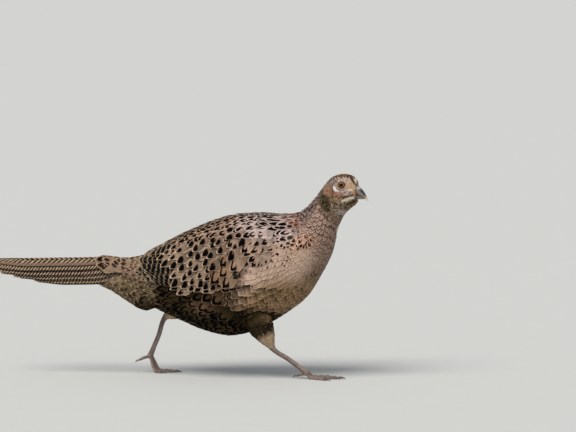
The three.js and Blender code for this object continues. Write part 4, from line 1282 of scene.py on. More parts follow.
class HEN_OT_neck(bpy.types.Operator):
    """Lay the feathers of the neck and head"""

    bl_idname = "hen.neck"
    bl_label = "Neck and head feathers"

    def execute(self, context):
        for name, row in NECK_TRACTS.items():
            span, around, gap, long, wide, rise, thick, relief, rows, slot, root, clear, mottle, seed = row
            on_head = slot == "plumage_head"
            spacing = measure(gap)
            roots = body_roots(*meridian_roots(*span, around, spacing, seed))
            length = spacing * long * (0.9 + 0.2 * chances(seed + 1, len(roots.a)))
            length = length * blend(1, 0.75, smooth(roots.point[:, 0], 165, 182))
            if on_head:
                parts = [roots.ahead(length * share) for share in (0.45, 0.8)]
                feathered = sum(bare_face(part[:, 0], part[:, 2]) for part in parts) == 0
                roots.keep(feathered)
                length = length[feathered]
            chance = chances(seed + 3, len(length), 2)
            width = ring_width(roots.a, around) * wide * (0.92 + 0.16 * chance[:, 0])
            low, high, more = rise
            rise = (low, high + more * chance[:, 1])
            material = feather_material(
                name, lit(22, 16, 13), lit(150, 86, 56), 0.0, root, clear, mottle)
            if on_head:
                look = grid_look(roots, length, width, rows, 5)
            else:
                look = body_look(roots.a, roots.ahead(length * SEEN))
            feather_piece(
                name, coat_reach(roots), length, width, rise, look, body_home(roots), material, seed + 2,
                rows, thick=thick, slot=slot, flip=-np.sign(np.sin(roots.b)), relief=relief)
        return {"FINISHED"}


def grid_look(roots, length, width, rows, columns):
    """The look of every grid point of each feather, so that a marking crosses them sharply."""
    u, v = vane_grid(rows, columns)
    back = length[:, None, None] * u
    spots = roots.reach(back, width[:, None, None] / 2 * v * 0.8, 0 * back)
    rank = roots.a[:, None, None] + roots.lie[:, 0, None, None] * back
    return body_look(rank.ravel(), spots.reshape(-1, 3))


# Wings

# Each tier runs from its uppermost feather to its lowest: root and tip points of both in the side view,
# number, width, rise over the flank at root and tip, tilt over the next one down, and the length of a bar.
WING_TIERS = {
    "primaries": ([[-61, 153], [-37, 136]], [[-127, 151], [-112, 136]], 7, 13, (1.2, 1.8), 0.7, 7.3),
    "secondaries": ([[-13, 162], [6, 133]], [[-125, 161], [-106, 138]], 8, 17, (2.2, 4.2), 0.5, 7.3),
    "tertials": ([[-12, 180], [-6, 160]], [[-110, 168], [-100, 156]], 5, 20, (2.0, 3.6), 0.6, 7.3),
}
WING_SLOPE = np.radians(36)
WING_FRONT = [[118, -6], [141, 14], [160, 32], [183, 42], [205, 46]]  # z and x of its front line
PLUME_AREA = (17, 170, 26, 14, 50)  # of the big flank feathers: middle x and z, reach both ways, rise


def in_wing(x, z):
    """Whether a root belongs to the wing: behind its front line and between its edges."""
    front = np.interp(z, *np.array(WING_FRONT).T)
    top = 207 - 0.0017 * np.maximum(0, -x - 10) ** 2
    rear = blend(-54, -98, smooth(z, 170, 184))
    return (x < front) & (z > 133) & (z < top) & (x > rear)


def wing_heading(x, z):
    """The lie of the wing's coverts in the side view: steepest on the shoulder, flatter behind."""
    angle = np.radians(24 + 16 * smooth(x, -110, -20) - 8 * smooth(150 - z, 0, 24))
    return np.stack([-np.cos(angle), np.zeros(x.shape), -np.sin(angle)], -1)


def in_plume(x, z):
    """Whether a root belongs to the big flank feathers that lie over the wing's lower front."""
    return oval(x, z, *PLUME_AREA) < 1


def lattice_roots(inside, gap, step, seed):
    """Roots in the side view on a slanting lattice, every second column half a row on."""
    row, column = np.meshgrid(np.arange(-24, 25), np.arange(-24, 25), indexing="ij")
    back = (row + 0.5 * (column % 2)) * gap
    over = column * step
    chance = chances(seed, row.size, 6)
    back = back.ravel() + (chance[:, 0] - 0.5) * gap * 0.35
    over = over.ravel() + (chance[:, 1] - 0.5) * step * 0.35
    x = -20 - back * np.cos(WING_SLOPE) + over * np.sin(WING_SLOPE)
    z = 172 - back * np.sin(WING_SLOPE) - over * np.cos(WING_SLOPE)
    keep = inside(x, z)
    return x[keep], z[keep], chance[keep, 2:]


def quill_reach(root, tip, hand, bow):
    """Points of long wing feathers laid straight in the side view, on the flank's surface."""
    along = unit(tip - root)[:, None, None]
    across = np.stack([along[..., 1], -along[..., 0]], -1)
    length = np.linalg.norm(tip - root, axis=-1)[:, None, None]

    def reach(back, out, rise):
        share = np.clip(back / length, 0, 1)
        side = out + bow * length * np.sin(np.pi * share)
        flat = root[:, None, None] + along * back[..., None] + across * side[..., None]
        place, angle = body_place(flat[..., 0], flat[..., 1], -0.9, 12)
        return lifted(body_surface, place, hand * angle, rise)
    return reach


STRIP = (0.015, 0.9)  # the size of a long feather's strip on the OFBake map


def strip_home(count, first=0):
    """Middles of long feathers' strips on the OFBake map, side by side."""
    return np.stack([(first + np.arange(count) + 0.5) * 0.018, np.full(count, 0.5)], -1)


# The small feathers over each wing: which roots, then the names of the rows' and columns' distances, length
# and width, and how far they stand over the wing.
COVERT_TRACTS = {
    "coverts": (in_wing, "covert_gap", "covert_step", "covert_length", "covert_width", 0.0),
    "flank_plumes": (in_plume, "plume_gap", "plume_step", "plume_length", "plume_width", 1.6),
}


def lay_quills(side, hand, material):
    """The primaries, secondaries and tertials of one wing, whose bars stand in line across the tiers."""
    first = 0
    for name, (root, tip, count, width, rise, tilt, bar) in WING_TIERS.items():
        share = np.linspace(0, 1, count)[:, None]
        chance = chances(31 + count, count, 3)
        starts = blend(np.array(root[0]), np.array(root[1]), share)
        ends = blend(np.array(tip[0]), np.array(tip[1]), share) + (chance[:, :2] - 0.5) * (4, 1)
        length = np.linalg.norm(ends - starts, axis=1)
        look = layer_look(WING_LAYERS, starts[:, 0] - 60, starts[:, 1])
        begin = (0.2 * starts[:, 1] - starts[:, 0]) / bar + 0.12 * chance[:, 0]
        look["mark"] = np.stack([length / bar, np.ones(count), begin % 1], -1)
        look["glow"] = np.zeros(count)
        width = width * (0.94 + 0.12 * chance[:, 2])
        feather_piece(
            f"{side}_{name}", quill_reach(starts, ends, hand, 0.03), length, width, rise, look,
            strip_home(count, first), material, 41 + count, 18, 7, thick=0.7, tilt=tilt, flip=-1,
            ragged=0.012, camber=0.06, slot="plumage_wing", patch=STRIP,
            stands_for=() if first else (f"wing_{side}",))
        first += count


def lay_coverts(side, hand, material):
    """The small feathers over one wing."""
    for name, (inside, gap, step, long, wide, stand) in COVERT_TRACTS.items():
        x, z, chance = lattice_roots(inside, measure(gap), measure(step), 51)
        place, angle = body_place(x, z, 0, 12)
        roots = Roots(body_surface, place, hand * angle, wing_heading(x, z))
        length = measure(long) * blend(0.85, 1.05, smooth(-x, -20, 60)) * (0.92 + 0.16 * chance[:, 0])
        width = measure(wide) * (0.9 + 0.2 * chance[:, 1])
        lift = wing_lift(x, np.maximum(z, 126)) + stand
        seen = roots.ahead(length * SEEN)
        look = layer_look(WING_LAYERS, seen[:, 0], seen[:, 2])
        look["mark"][:, 1] *= blend(0.8, 1.2, chance[:, 2])
        feather_piece(
            f"{side}_{name}", coat_reach(roots), length, width, (lift - 3.6, lift + 0.7), look,
            body_home(roots), material, 53, 8, tilt=0.6, flip=-hand, slot="plumage_wing")


class HEN_OT_wings(bpy.types.Operator):
    """Lay the folded wings"""

    bl_idname = "hen.wings"
    bl_label = "Wings"

    def execute(self, context):
        coverts = feather_material("wing_coverts", INK, RUFOUS, 1.3)
        quills = quill_material(
            "wing_quills", INK, lit(158, 139, 114), lit(84, 69, 56), fill=-0.55, slant=0.0, clear=-0.5,
            border=0.0)
        for side, hand in SIDES:
            lay_quills(side, hand, quills)
            lay_coverts(side, hand, coverts)
        return {"FINISHED"}


# Tail

TAIL_ROOT_X = -132
TAIL_START = 5  # how far behind their root the feathers begin
TAIL_PAIRS = 9
# Where each pair lies, from the middle of the tail to its side, and how long feathers are at places between.
TAIL_PLACES = [0, 0.2, 0.24, 0.43, 0.5, 0.68, 0.75, 0.94, 1]
TAIL_LENGTHS = [[0, 0.12, 0.3, 0.5, 0.75, 1], [211, 210, 206, 192, 165, 138]]
TAIL_LAYER = 0.9  # how far each pair lies under the one before


def tail_point(back, share, depth):
    """A point of the closed tail: a roof whose section is a hyperbola, opening behind its root; share runs
    from the ridge, 0, to the lower edges at -1 and 1, and depth goes under it."""
    open_by = blend(0.6, 1, np.sin(np.pi / 2 * np.clip(back / 62, 0, 1)))
    y = 20 * 1.6 * share / (1 + 0.6 * np.abs(share))
    far = np.hypot(13, 2.2 * y)
    inwards = unit(np.stack([y / 14, np.ones(np.shape(y))], -1))
    ridge = 162 + 5 * smooth(back, 0, 50) - 0.022 * back
    z = ridge - open_by * (far - 13)
    y = open_by * y - depth * inwards[..., 0]
    return np.stack([TAIL_ROOT_X - back, y, z - depth * inwards[..., 1]], -1)


def tail_width(along):
    """Half width of a tail feather: broad, then drawn out to a point."""
    return blend(0.5, 1, smooth(along, 0, 0.4)) * (1 - 0.7 * smooth(along, 0.7, 1.04))


def over_tail(back):
    """How far the coverts lie over the tail: a low rise behind and the rump's own height in front."""
    return 1.2 + 7.5 * (1 - smooth(back, -30, 24))


def rump_surface(a, share):
    """The surface of the coverts over the tail, with a running forwards."""
    return tail_point(-a, share, -over_tail(-a))


# The wedge under the tail: x of its sections, their top, low end and half width.
UNDER_X = np.array([-192, -180, -167, -154, -142, -130, -118, -106, -94])
UNDER_TOP = np.array([136, 140, 143, 144, 141, 134, 124, 114, 104])
UNDER_LOW = np.array([130, 125, 118.5, 111, 102.5, 95, 91, 93, 93])
UNDER_HALF = np.array([4, 8.5, 12.5, 16.5, 20, 23, 24, 22, 20])


def under_surface(x, angle):
    """The soft wedge under the tail: ellipses between a top and a bottom line, angle 0 at the bottom."""
    top, low, half = (np.interp(x, UNDER_X, line) for line in (UNDER_TOP, UNDER_LOW, UNDER_HALF))
    return np.stack([x, -half * np.sin(angle), (top + low) / 2 - (top - low) / 2 * np.cos(angle)], -1)


def lay_tail():
    """The tail's quills in pairs, the middle pair uppermost, each pair under the one before. Only the middle
    pair covers its half of the roof up to the ridge, and it has chevrons on its lower half."""
    rank = np.repeat(np.arange(TAIL_PAIRS), 2)
    hand = np.tile([RIGHT, LEFT], TAIL_PAIRS)
    side = hand[:, None, None]
    share = np.array(TAIL_PLACES)[rank]
    chance = chances(61, len(rank), 3)
    length = np.interp(share, *TAIL_LENGTHS) * (0.99 + 0.02 * chance[:, 0]) - TAIL_START
    middle = blend(0.13, 0.78, share)[:, None, None]
    inner = np.where(rank == 0, -1.0, 0.03)[:, None, None]
    layer = (np.where(rank == 0, (hand < 0) * 1.0, rank + 1.0) * TAIL_LAYER)[:, None, None]

    def reach(back, out, rise):
        out = out * side
        across = np.maximum(inner + 0.05 * (out + 1), middle + out * 0.23)
        return tail_point(TAIL_START + back, side * across, layer - rise)

    count = len(rank)
    look = layer_look(BODY_LAYERS, np.full(count, -120.0), np.full(count, 150.0))
    look["mark"] = np.stack([length / np.where(rank == 0, 7.0, 4.5), np.full(count, 0.95), chance[:, 1]], -1)
    look["glow"] = (rank == 0) * 0.85
    # These quills get a strong painted shadow line along each lower edge.
    quills = quill_material(
        "tail_quills", lit(12, 9, 8), lit(182, 156, 130), lit(120, 98, 82), fill=0.15, slant=-1.5, clear=-0.5,
        border=0.9)
    feather_piece(
        "tail_feathers", reach, length, 2.0, (0, 0), look, strip_home(count), quills, 63, 30, 7,
        thick=0.6, tilt=0, camber=0.0, ragged=0.006, shape=tail_width, slot="plumage_tail", patch=STRIP,
        sway=0, flip=hand, stands_for=("tail",))


def staggered(rows, columns, shift, scatter, seed):
    """Parameters of roots on a grid whose every second row is moved on, the first of them scattered by
    chance, and four chances for each root."""
    a, b = np.meshgrid(rows, columns, indexing="ij")
    b = b + shift * (np.arange(len(rows)) % 2)[:, None]
    chance = chances(seed, a.size, 4)
    return a.ravel() + (chance[:, 0] - 0.5) * scatter, b.ravel(), chance


def lay_tail_coverts(fluff):
    """The short feathers over and under the tail's root."""
    back, out, chance = staggered(np.arange(-30, 24, 8.5), np.linspace(-0.62, 0.62, 9), 0.07, 4, 65)
    out = out * (1 - 0.35 * smooth(back, 0, 50))
    roots = Roots(rump_surface, -back, out, np.tile([-1.0, 0, 0], (len(back), 1)))
    length = blend(24, 36, smooth(back, -20, 30)) * (0.9 + 0.2 * chance[:, 1])
    feather_piece(
        "uppertail_feathers", roots.reach, length, 12 + 3 * chance[:, 2], (-2.4, 0.4 + 0.6 * chance[:, 3]),
        layer_look(BODY_LAYERS, *roots.side_view()), np.stack([0.02 + back / 4000, 0.5 + out / 10], -1),
        fluff, 67, 8, stands_for=("uppertail_coverts",))
    x, angle, chance = staggered(np.arange(-168, -98, 7.5), np.linspace(-2.5, 2.5, 13), 0.2, 4, 69)
    roots = Roots(under_surface, x, angle, np.tile([-1.0, 0, 0.12], (len(x), 1)))
    feather_piece(
        "undertail_feathers", roots.reach, 24 + 6 * chance[:, 1], 11 + 4 * chance[:, 2],
        (-3.0, 0.2 + 1.2 * chance[:, 3]), layer_look(BODY_LAYERS, *roots.side_view()),
        np.stack([0.05 + x / 4000, 0.2 + angle / 40], -1), fluff, 71, ragged=0.09,
        stands_for=("undertail_coverts",))


class HEN_OT_tail(bpy.types.Operator):
    """Lay the tail and the coverts over and under its root"""

    bl_idname = "hen.tail"
    bl_label = "Tail"

    def execute(self, context):
        lay_tail()
        lay_tail_coverts(feather_material("tail_coverts", lit(12, 9, 7), lit(150, 90, 60), 0.8))
        return {"FINISHED"}


# Legs

# Side, hip, heel and knuckle of each leg, and how far in front of the knuckle its toes come to the floor.
LEGS = {
    "right": (RIGHT, (36, -29, 92), (61, -30, 44.6), (111, -32, 8.5), 9),
    "left": (LEFT, (-58, 27, 104), (-93, 26, 80), (-116, 24, 24), 17),
}
# Half widths of the feathered leg, across and along the bird, at shares of the way from hip to heel.
THIGH_SHARE = [0, 0.25, 0.5, 0.72, 0.88, 0.97, 1.04]
THIGH_WIDE = [19, 18, 14.5, 10, 6.8, 4.6, 3.6]
THIGH_DEEP = [18, 19, 16.5, 12, 7.8, 5, 4.0]


def thigh_surface(hip, heel):
    """The feathered leg: ellipses across the line from hip to heel; angle 0 faces forwards."""
    hip = np.array(hip, float)
    axis = unit(np.array(heel, float) - hip)
    side = np.array([0, 1.0, 0])
    side = unit(side - axis * (side @ axis))
    front = np.cross(axis, side)
    reach = np.array(heel) - hip

    def surface(share, angle):
        wide = np.interp(share, THIGH_SHARE, THIGH_WIDE)[..., None]
        deep = np.interp(share, THIGH_SHARE, THIGH_DEEP)[..., None]
        middle = hip + share[..., None] * reach
        return middle + front * deep * np.cos(angle)[..., None] + side * wide * np.sin(angle)[..., None]
    return surface, axis


def thigh_look(roots, share):
    """The belly's look, with its painted shade, at the top of the thigh, fading to plain pale feathers above
    the heel.
    """
    look = layer_look(BODY_LAYERS, *roots.side_view())
    colours = bpy.context.scene.hen_colours
    low = smooth(share, 0.22, 0.55)
    look["base"] = blend(look["base"], np.array(colours.shin), low[:, None])
    look["fringe"] = blend(look["fringe"], np.array(colours.ivory), 0.5 * low[:, None])
    look["mark"] = look["mark"] * (1 - low[:, None])
    return look


class HEN_OT_thighs(bpy.types.Operator):
    """Lay the feathers of the upper legs"""

    bl_idname = "hen.thighs"
    bl_label = "Thigh feathers"

    def execute(self, context):
        material = feather_material("thigh_feathers", lit(36, 28, 23), lit(150, 100, 70))
        for side, (_, hip, heel, _, _) in LEGS.items():
            surface, axis = thigh_surface(hip, heel)
            share, angle, chance = staggered(np.linspace(0.0, 0.9, 13), turns(20), TAU / 40, 0.03, 81)
            roots = Roots(surface, share, angle, np.tile(axis, (len(share), 1)))
            width = np.interp(share, THIGH_SHARE, THIGH_DEEP) * TAU / 20 * 1.9
            length = blend(20, 8, smooth(share, 0.2, 1.0)) * (0.9 + 0.2 * chance[:, 1])
            feather_piece(
                f"{side}_thigh_feathers", roots.reach, length, width, (-2.0, 0.3 + 0.5 * chance[:, 2]),
                thigh_look(roots, share), np.stack([share * 0.2 + 0.3, angle / TAU], -1), material, 83,
                thick=0.35, ragged=0.08, relief=0.6)
        return {"FINISHED"}


# The bare shank's half widths and the number of scutes down it. Then, of each front toe, the degrees that it
# turns outwards, its length, thickness, claw's length and joints, and the same of the hind toe but its turn.
SHANK_WIDE = 2.9
SHANK_DEEP = 3.2
SCUTES = 17
TOES = {
    "middle": (0, 46, 3.3, 11, 3),
    "inner": (-30, 32, 3.0, 9, 2),
    "outer": (32, 35, 2.8, 9, 3),
}
HIND_TOE = (16, 2.2, 6, 1)
HUB_RADIUS = 4.7
CLAW_GAP = 0.3


def curve(points, count):
    """Points evenly spread along a smooth line through the given ones, by cubics over the chords' lengths."""
    points = np.array(points, float)
    knots = np.concatenate([[0], np.cumsum(np.linalg.norm(np.diff(points, axis=0), axis=1))])
    line = cubic(points, knots, np.linspace(0, knots[-1], 20 * count))
    length = np.concatenate([[0], np.cumsum(np.linalg.norm(np.diff(line, axis=0), axis=1))])
    even = np.linspace(0, length[-1], count)
    return np.stack([np.interp(even, length, line[:, j]) for j in range(3)], -1)


def limb_rings(line, wide, deep, angle, top=0.0):
    """Rings across a line: sideways by wide, and along front by deep plus top, a rise of the front half given
    for each ring and angle."""
    along = unit(np.gradient(line, axis=0))
    side = unit(np.array([0, 1.0, 0]) - along * along[:, 1:2])
    front = np.cross(along, side)
    reach = (deep[:, None] + top) * np.cos(angle)
    out = (wide[:, None] + top * 0.7) * np.sin(angle)
    return line[:, None] + front[:, None] * reach[..., None] + side[:, None] * out[..., None]


def with_ends(values, end=None):
    """Values of a tube's rings, and of the two points that close it: a given one, or those of its first and
    last points."""
    values = values.reshape(-1, *values.shape[2:])
    return np.concatenate([values, values[[0, -1]] if end is None else [end, end]])


def shank_tube(heel, knuckle, hip):
    """The bare shank: a tube swelling at both ends, with two columns of scutes down its front, each standing
    proud at its lower edge."""
    heel = np.array(heel, float)
    start = heel + unit(np.array(hip, float) - heel) * 5
    line = curve([start, heel, blend(heel, knuckle, 0.5), knuckle], 150)
    share = np.linspace(-0.08, 1, len(line))
    swell = 1 + 0.3 * np.exp(-(share / 0.1) ** 2) + 0.2 * np.exp(-((share - 1) / 0.15) ** 2)
    angle = turns(32)
    facing = smooth(np.cos(angle), -0.15, 0.35)
    phase = (share[:, None] * SCUTES + 0.5 * (np.sin(angle) > 0)) % 1.0
    plate = phase ** 0.5 - 1.0 * (phase > 0.93)
    seam = np.exp(-(np.sin(angle) / 0.16) ** 2) * (np.cos(angle) > 0)
    small = 0.12 * np.sin(share[:, None] * 190 + 3 * angle) * np.sin(5 * angle + share[:, None] * 40)
    top = facing * (0.42 * plate - 0.3 * seam) + (1 - facing) * small
    rings = limb_rings(line, SHANK_WIDE * swell, SHANK_DEEP * swell, angle, top)
    return tube(rings), with_ends(plate * facing, 0)


def toe_tube(line, thick, joints):
    """A toe: a tube that thins to its claw, with a pad under each joint and scutes across its top, flat
    where it meets the floor."""
    share = np.linspace(0, 1, len(line))
    size = thick * (1 - 0.32 * share) * (1 + 0.1 * np.cos(TAU * share * (joints + 0.5)))
    size = size * np.sqrt(np.clip((1 - share) / 0.05, 0.05, 1))
    line = line.copy()
    line[:, 2] = np.maximum(line[:, 2], 0.84 * size)
    angle = turns(24)
    over = smooth(-np.cos(angle), -0.2, 0.5)
    length = np.linalg.norm(np.diff(line, axis=0), axis=1).sum()
    phase = (share[:, None] * length / 2.6 + 0 * angle) % 1.0
    plate = phase ** 0.5 - (phase > 0.92)
    pads = 0.35 * np.abs(np.sin(share[:, None] * np.pi * (joints + 0.5)))
    rings = limb_rings(line, size, size, angle, over * 0.32 * plate + (1 - over) * pads)
    rings[..., 2] = np.maximum(rings[..., 2], 0.0)
    return tube(rings), with_ends(plate * over, 0)


def claw_tube(start, along, thick, length, drop):
    """A claw: a horn whose middle line bows up and then falls by the square of its length, thinning to a
    point."""
    share = np.linspace(0, 1, 26)
    line = start + unit(along) * (CLAW_GAP + length * share)[:, None]
    line[:, 2] += 0.8 * np.sin(np.pi * share) - drop * share ** 2
    size = thick * (1 - 0.9 * share ** 1.4)
    rings = limb_rings(line, size * 0.8, size, turns(16))
    rings[..., 2] = np.maximum(rings[..., 2], 0.0)
    return tube(rings)


def leg_material():
    """Scaled skin: horn grey on the scutes, darker in the grooves, with a warm stain and fine scales."""
    paint = Paint("leg_skin")
    value, _, _ = paint.attribute("plate").parts()
    patches = paint.noise(160.0, 3.0)
    fine = paint.node("ShaderNodeTexVoronoi", {"feature": "DISTANCE_TO_EDGE"},
                      {"Vector": paint.where(), "Scale": 900.0})
    colour = paint.mix(patches.step(0.35, 0.65), lit(122, 104, 96), lit(150, 132, 122))
    colour = paint.mix(value.step(0.35, 0.0) * 0.55, colour, lit(84, 68, 60))
    cracks = fine.step(0.0, 0.12)
    return paint.finish({
        "Base Color": paint.scaled(colour, 0.8 + cracks * 0.2),
        "Roughness": 0.55,
        "Normal": paint.bump(cracks + patches * 0.3, 0.00015, 0.7),
    })


def claw_material():
    """Dark satin horn with a paler tip and fine lines."""
    paint = Paint("claw_horn")
    streaks = paint.noise(500.0, 3.0, stretch=(1, 3, 3))
    colour = paint.mix(streaks.step(0.35, 0.7), lit(64, 54, 48), lit(104, 92, 82))
    return paint.finish({
        "Base Color": colour, "Roughness": 0.38, "Normal": paint.bump(streaks, 0.0001, 0.4)})


def toe_lines(knuckle, hand, reach):
    """Each toe's middle line, thickness, claw and joints. The front toes come down to the floor in front of
    the knuckle and lie flat on it, and the hind toe points back and down."""
    lines = {}
    for name, (turn, length, thick, claw, joints) in TOES.items():
        way = np.array([np.cos(np.radians(turn)), np.sin(np.radians(turn)) * hand, 0])
        landing = knuckle + way * reach * (0.4 + 0.6 * length / 46)
        landing[2] = 1
        end = landing + way * (length - np.linalg.norm(landing - knuckle))
        lines[name] = (curve([knuckle, landing, (landing + end) / 2, end], 90), thick, claw, joints)
    length, thick, claw, joints = HIND_TOE
    start = knuckle + (-1, 0, -1)
    end = start + unit(np.array([-0.86, -0.25 * hand, -0.3])) * length
    end[2] = max(end[2], 4)
    lines["hind"] = (curve([start, (start + end) / 2 + (0, 0, 0.8), end], 50), thick, claw, joints)
    return lines


def hub_tube(knuckle):
    """The ball that the toes spring from."""
    ball = np.linspace(0.02, np.pi - 0.02, 20)[:, None]
    across = np.sin(ball)[..., None] * np.stack([np.cos(turns(24)), np.sin(turns(24)), np.zeros(24)], -1)
    points = knuckle + 0.93 * HUB_RADIUS * (across + np.cos(ball)[..., None] * UP)
    return tube(points), np.full(20 * 24 + 2, 0.4)


class HEN_OT_legs(bpy.types.Operator):
    """Make the bare shanks, the feet and the claws"""

    bl_idname = "hen.legs"
    bl_label = "Legs and feet"

    def execute(self, context):
        skin = leg_material()
        horn = claw_material()
        for side, (hand, hip, heel, knuckle, reach) in LEGS.items():
            knuckle = np.array(knuckle, float)
            made = [shank_tube(heel, knuckle, hip), hub_tube(knuckle)]
            for name, (line, thick, claw, joints) in toe_lines(knuckle, hand, reach).items():
                made.append(toe_tube(line, thick, joints))
                size = thick * 0.6
                tip = line[-1].copy()
                tip[2] = max(tip[2], size)
                drop = 1.6 if name == "hind" else tip[2] - 0.6
                horn_tube = claw_tube(tip, line[-1] - line[-2], size, claw, drop)
                dress(make_piece(f"{side}_{name}_claw", *outwards(*horn_tube)), horn, "claw_horn",
                      f"claw_{name}_{side}")
            piece = make_piece(f"{side}_leg", *merged([outwards(*part) for part, _ in made]))
            add_vector(piece, "plate", np.stack([np.concatenate([tone for _, tone in made])] * 3, -1))
            dress(piece, skin, "leg_skin", f"shank_{side}", f"foot_{side}")
        return {"FINISHED"}


# Bill and eyes

# Sections of each half of the bill: top x and z, bottom x and z, half width.
UPPER_BILL = [
    [181, 271.4, 176, 260, 6], [187.4, 265.9, 182, 257.2, 5.2], [190.9, 262, 186.6, 255, 4.2],
    [193.8, 257.8, 190.4, 253.2, 2.9], [196, 253.2, 194, 250.8, 1.6], [197.5, 248.7, 196.7, 248, 0.6],
]
LOWER_BILL = [
    [176, 259, 177.5, 248.6, 5.6], [182, 256.6, 182.6, 250.8, 4.6], [187.4, 254.4, 187.8, 250.9, 3.3],
    [192, 252.6, 192.2, 251.2, 1.6],
]
NOSTRIL = (184.0, 265.0)


def bill_half(sections, rows, upper):
    """One half of the bill, before the head's turn: flattened rings through its sections. The upper half
    has a soft lid over the nostril and a slit under it. Also gives how much of lid and slit is at each
    point."""
    rings = cubic(np.array(sections, float), np.linspace(0, 1, len(sections)), np.linspace(0, 1, rows))
    top_x, top_z, low_x, low_z, half = rings.T[..., None]
    c = np.cos(turns(48))
    s = np.sin(turns(48))
    x = (top_x + low_x) / 2 + (top_x - low_x) / 2 * c
    z = (top_z + low_z) / 2 + (top_z - low_z) / 2 * c
    wide = half * np.sign(s) * np.abs(s) ** 0.85
    lid = np.exp(-((x - NOSTRIL[0]) / 2.6) ** 2 - ((z - NOSTRIL[1] - 1.2) / 1.7) ** 2) * upper
    slope = (z - NOSTRIL[1]) + 0.5 * (x - NOSTRIL[0])
    slit = np.exp(-(slope / 0.45) ** 2 - ((x - NOSTRIL[0] - 0.6) / 2.2) ** 2) * upper
    wide = wide + np.sign(wide) * (0.55 * lid - 1.1 * slit) * smooth(np.abs(wide), 1.5, 3.5)
    return np.stack([x, wide, z], -1), lid[..., None], slit[..., None]


BILL_TONES = {name: np.array(lit(*tone)) for name, tone in {
    "side": (134, 118, 108),
    "ridge": (46, 45, 60),
    "tip": (222, 208, 186),
    "low": (104, 97, 74),
    "lid": (200, 176, 168),
    # The nostril's slit: painted shade in the opening.
    "slit": (40, 30, 28),
}.items()}


def bill_colour(rows, lid, slit, upper):
    """The colour of each point: the upper half has a dark ridge, a horn tip, a pale nostril lid and a slit
    darkened as painted shade, and the lower one goes from olive at its root to the side's colour at its tip."""
    tones = BILL_TONES
    share = np.linspace(0, 1, rows)[:, None, None]
    if not upper:
        return blend(tones["low"], tones["side"], smooth(share, 0.3, 1.0) + 0 * lid)
    ridge = smooth(np.cos(turns(48))[:, None], -0.1, 0.75)
    ridge = ridge * smooth(share, 0.05, 0.25) * smooth(0.9 - share, 0, 0.2)
    colour = blend(tones["side"], tones["ridge"], ridge)
    colour = blend(colour, tones["tip"], smooth(share, 0.55, 0.95))
    colour = blend(colour, tones["lid"], np.clip(lid * 1.3, 0, 1))
    return blend(colour, tones["slit"], np.clip(slit * 1.2, 0, 1))


def bill_material():
    """Satin horn: painted by point, with fine streaks along it."""
    paint = Paint("bill_horn")
    streaks = paint.noise(420.0, 3.0, stretch=(0.6, 2, 2))
    colour = paint.scaled(paint.attribute("base", True), 0.86 + streaks * 0.28)
    return paint.finish({
        "Base Color": colour, "Roughness": 0.36, "Coat Weight": 0.15,
        "Normal": paint.bump(streaks, 0.00012, 0.5)})


class HEN_OT_bill(bpy.types.Operator):
    """Make both halves of the bill"""

    bl_idname = "hen.bill"
    bl_label = "Bill"

    def execute(self, context):
        horn = bill_material()
        for name, sections, upper in (("upper", UPPER_BILL, True), ("lower", LOWER_BILL, False)):
            points, lid, slit = bill_half(sections, 64, upper)
            piece = make_piece(f"{name}_bill", *outwards(*tube(turned(points))))
            add_colour(piece, "base", with_ends(bill_colour(64, lid, slit, upper)))
            dress(piece, horn, "bill_horn", f"bill_{name}")
        return {"FINISHED"}


# Radii of the eyeball, and of what shows of it round the line of sight.
EYE_RADIUS = 6.6
PUPIL = 2.5
IRIS = 4.3
LID_RADIUS = 5.1


def eye_material():
    """A wet eyeball by distance from its axis: black pupil, amber iris with fine rays, dark rim."""
    paint = Paint("eye")
    out, ray, _ = paint.attribute("gaze").parts()
    rays = paint.noise(7.0, 3.0, at=paint.node("ShaderNodeCombineXYZ", {}, {0: ray * 9, 1: out * 0.25}))
    iris = paint.mix(rays.step(0.35, 0.7), lit(108, 74, 40), lit(164, 120, 72))
    iris = paint.mix(out.step(PUPIL + 1.1, PUPIL + 0.1) * 0.55, iris, lit(92, 56, 30))
    colour = paint.mix(out.step(IRIS - 0.55, IRIS), iris, lit(38, 26, 20))
    colour = paint.mix(out.step(PUPIL + 0.25, PUPIL - 0.1), colour, lit(6, 5, 5))
    return paint.finish({
        "Base Color": colour, "Roughness": 0.12, "Specular IOR Level": 0.1})


def lid_material():
    """Bare lid skin, warm grey with fine pimples and a dark inner edge."""
    paint = Paint("lid_skin")
    inner = paint.attribute("gaze").parts()[0]
    pimples = paint.noise(1400.0, 3.0)
    colour = paint.mix(pimples.step(0.35, 0.7), lit(138, 114, 98), lit(180, 154, 134))
    colour = paint.mix(inner.step(LID_RADIUS + 0.5, LID_RADIUS - 0.2), colour, lit(38, 26, 22))
    return paint.finish({
        "Base Color": colour, "Roughness": 0.5, "Normal": paint.bump(pimples, 0.0002, 0.8)})


def eyeball(name, centre, front, up, gaze):
    """A sphere round its line of sight, with the cornea standing out at its middle. The gaze attribute
    holds the distance from that line and the share of the way round it."""
    polar = np.concatenate([np.linspace(0.01, 0.9, 44), np.linspace(0.95, np.pi - 0.01, 20)])[:, None]
    turn = turns(64)
    radius = EYE_RADIUS + 0.25 * np.exp(-(polar / 0.5) ** 2)
    out = radius * np.sin(polar)
    across = front * (out * np.cos(turn))[..., None] + up * (out * np.sin(turn))[..., None]
    deep = (radius * np.cos(polar))[..., None]
    piece = make_piece(name, *outwards(*tube(centre + across + gaze * deep)))
    away = np.where(polar < np.pi / 2, out, EYE_RADIUS) + 0 * turn
    add_vector(piece, "gaze", with_ends(np.stack([away, turn / TAU + 0 * polar, 0 * away], -1)))
    return piece


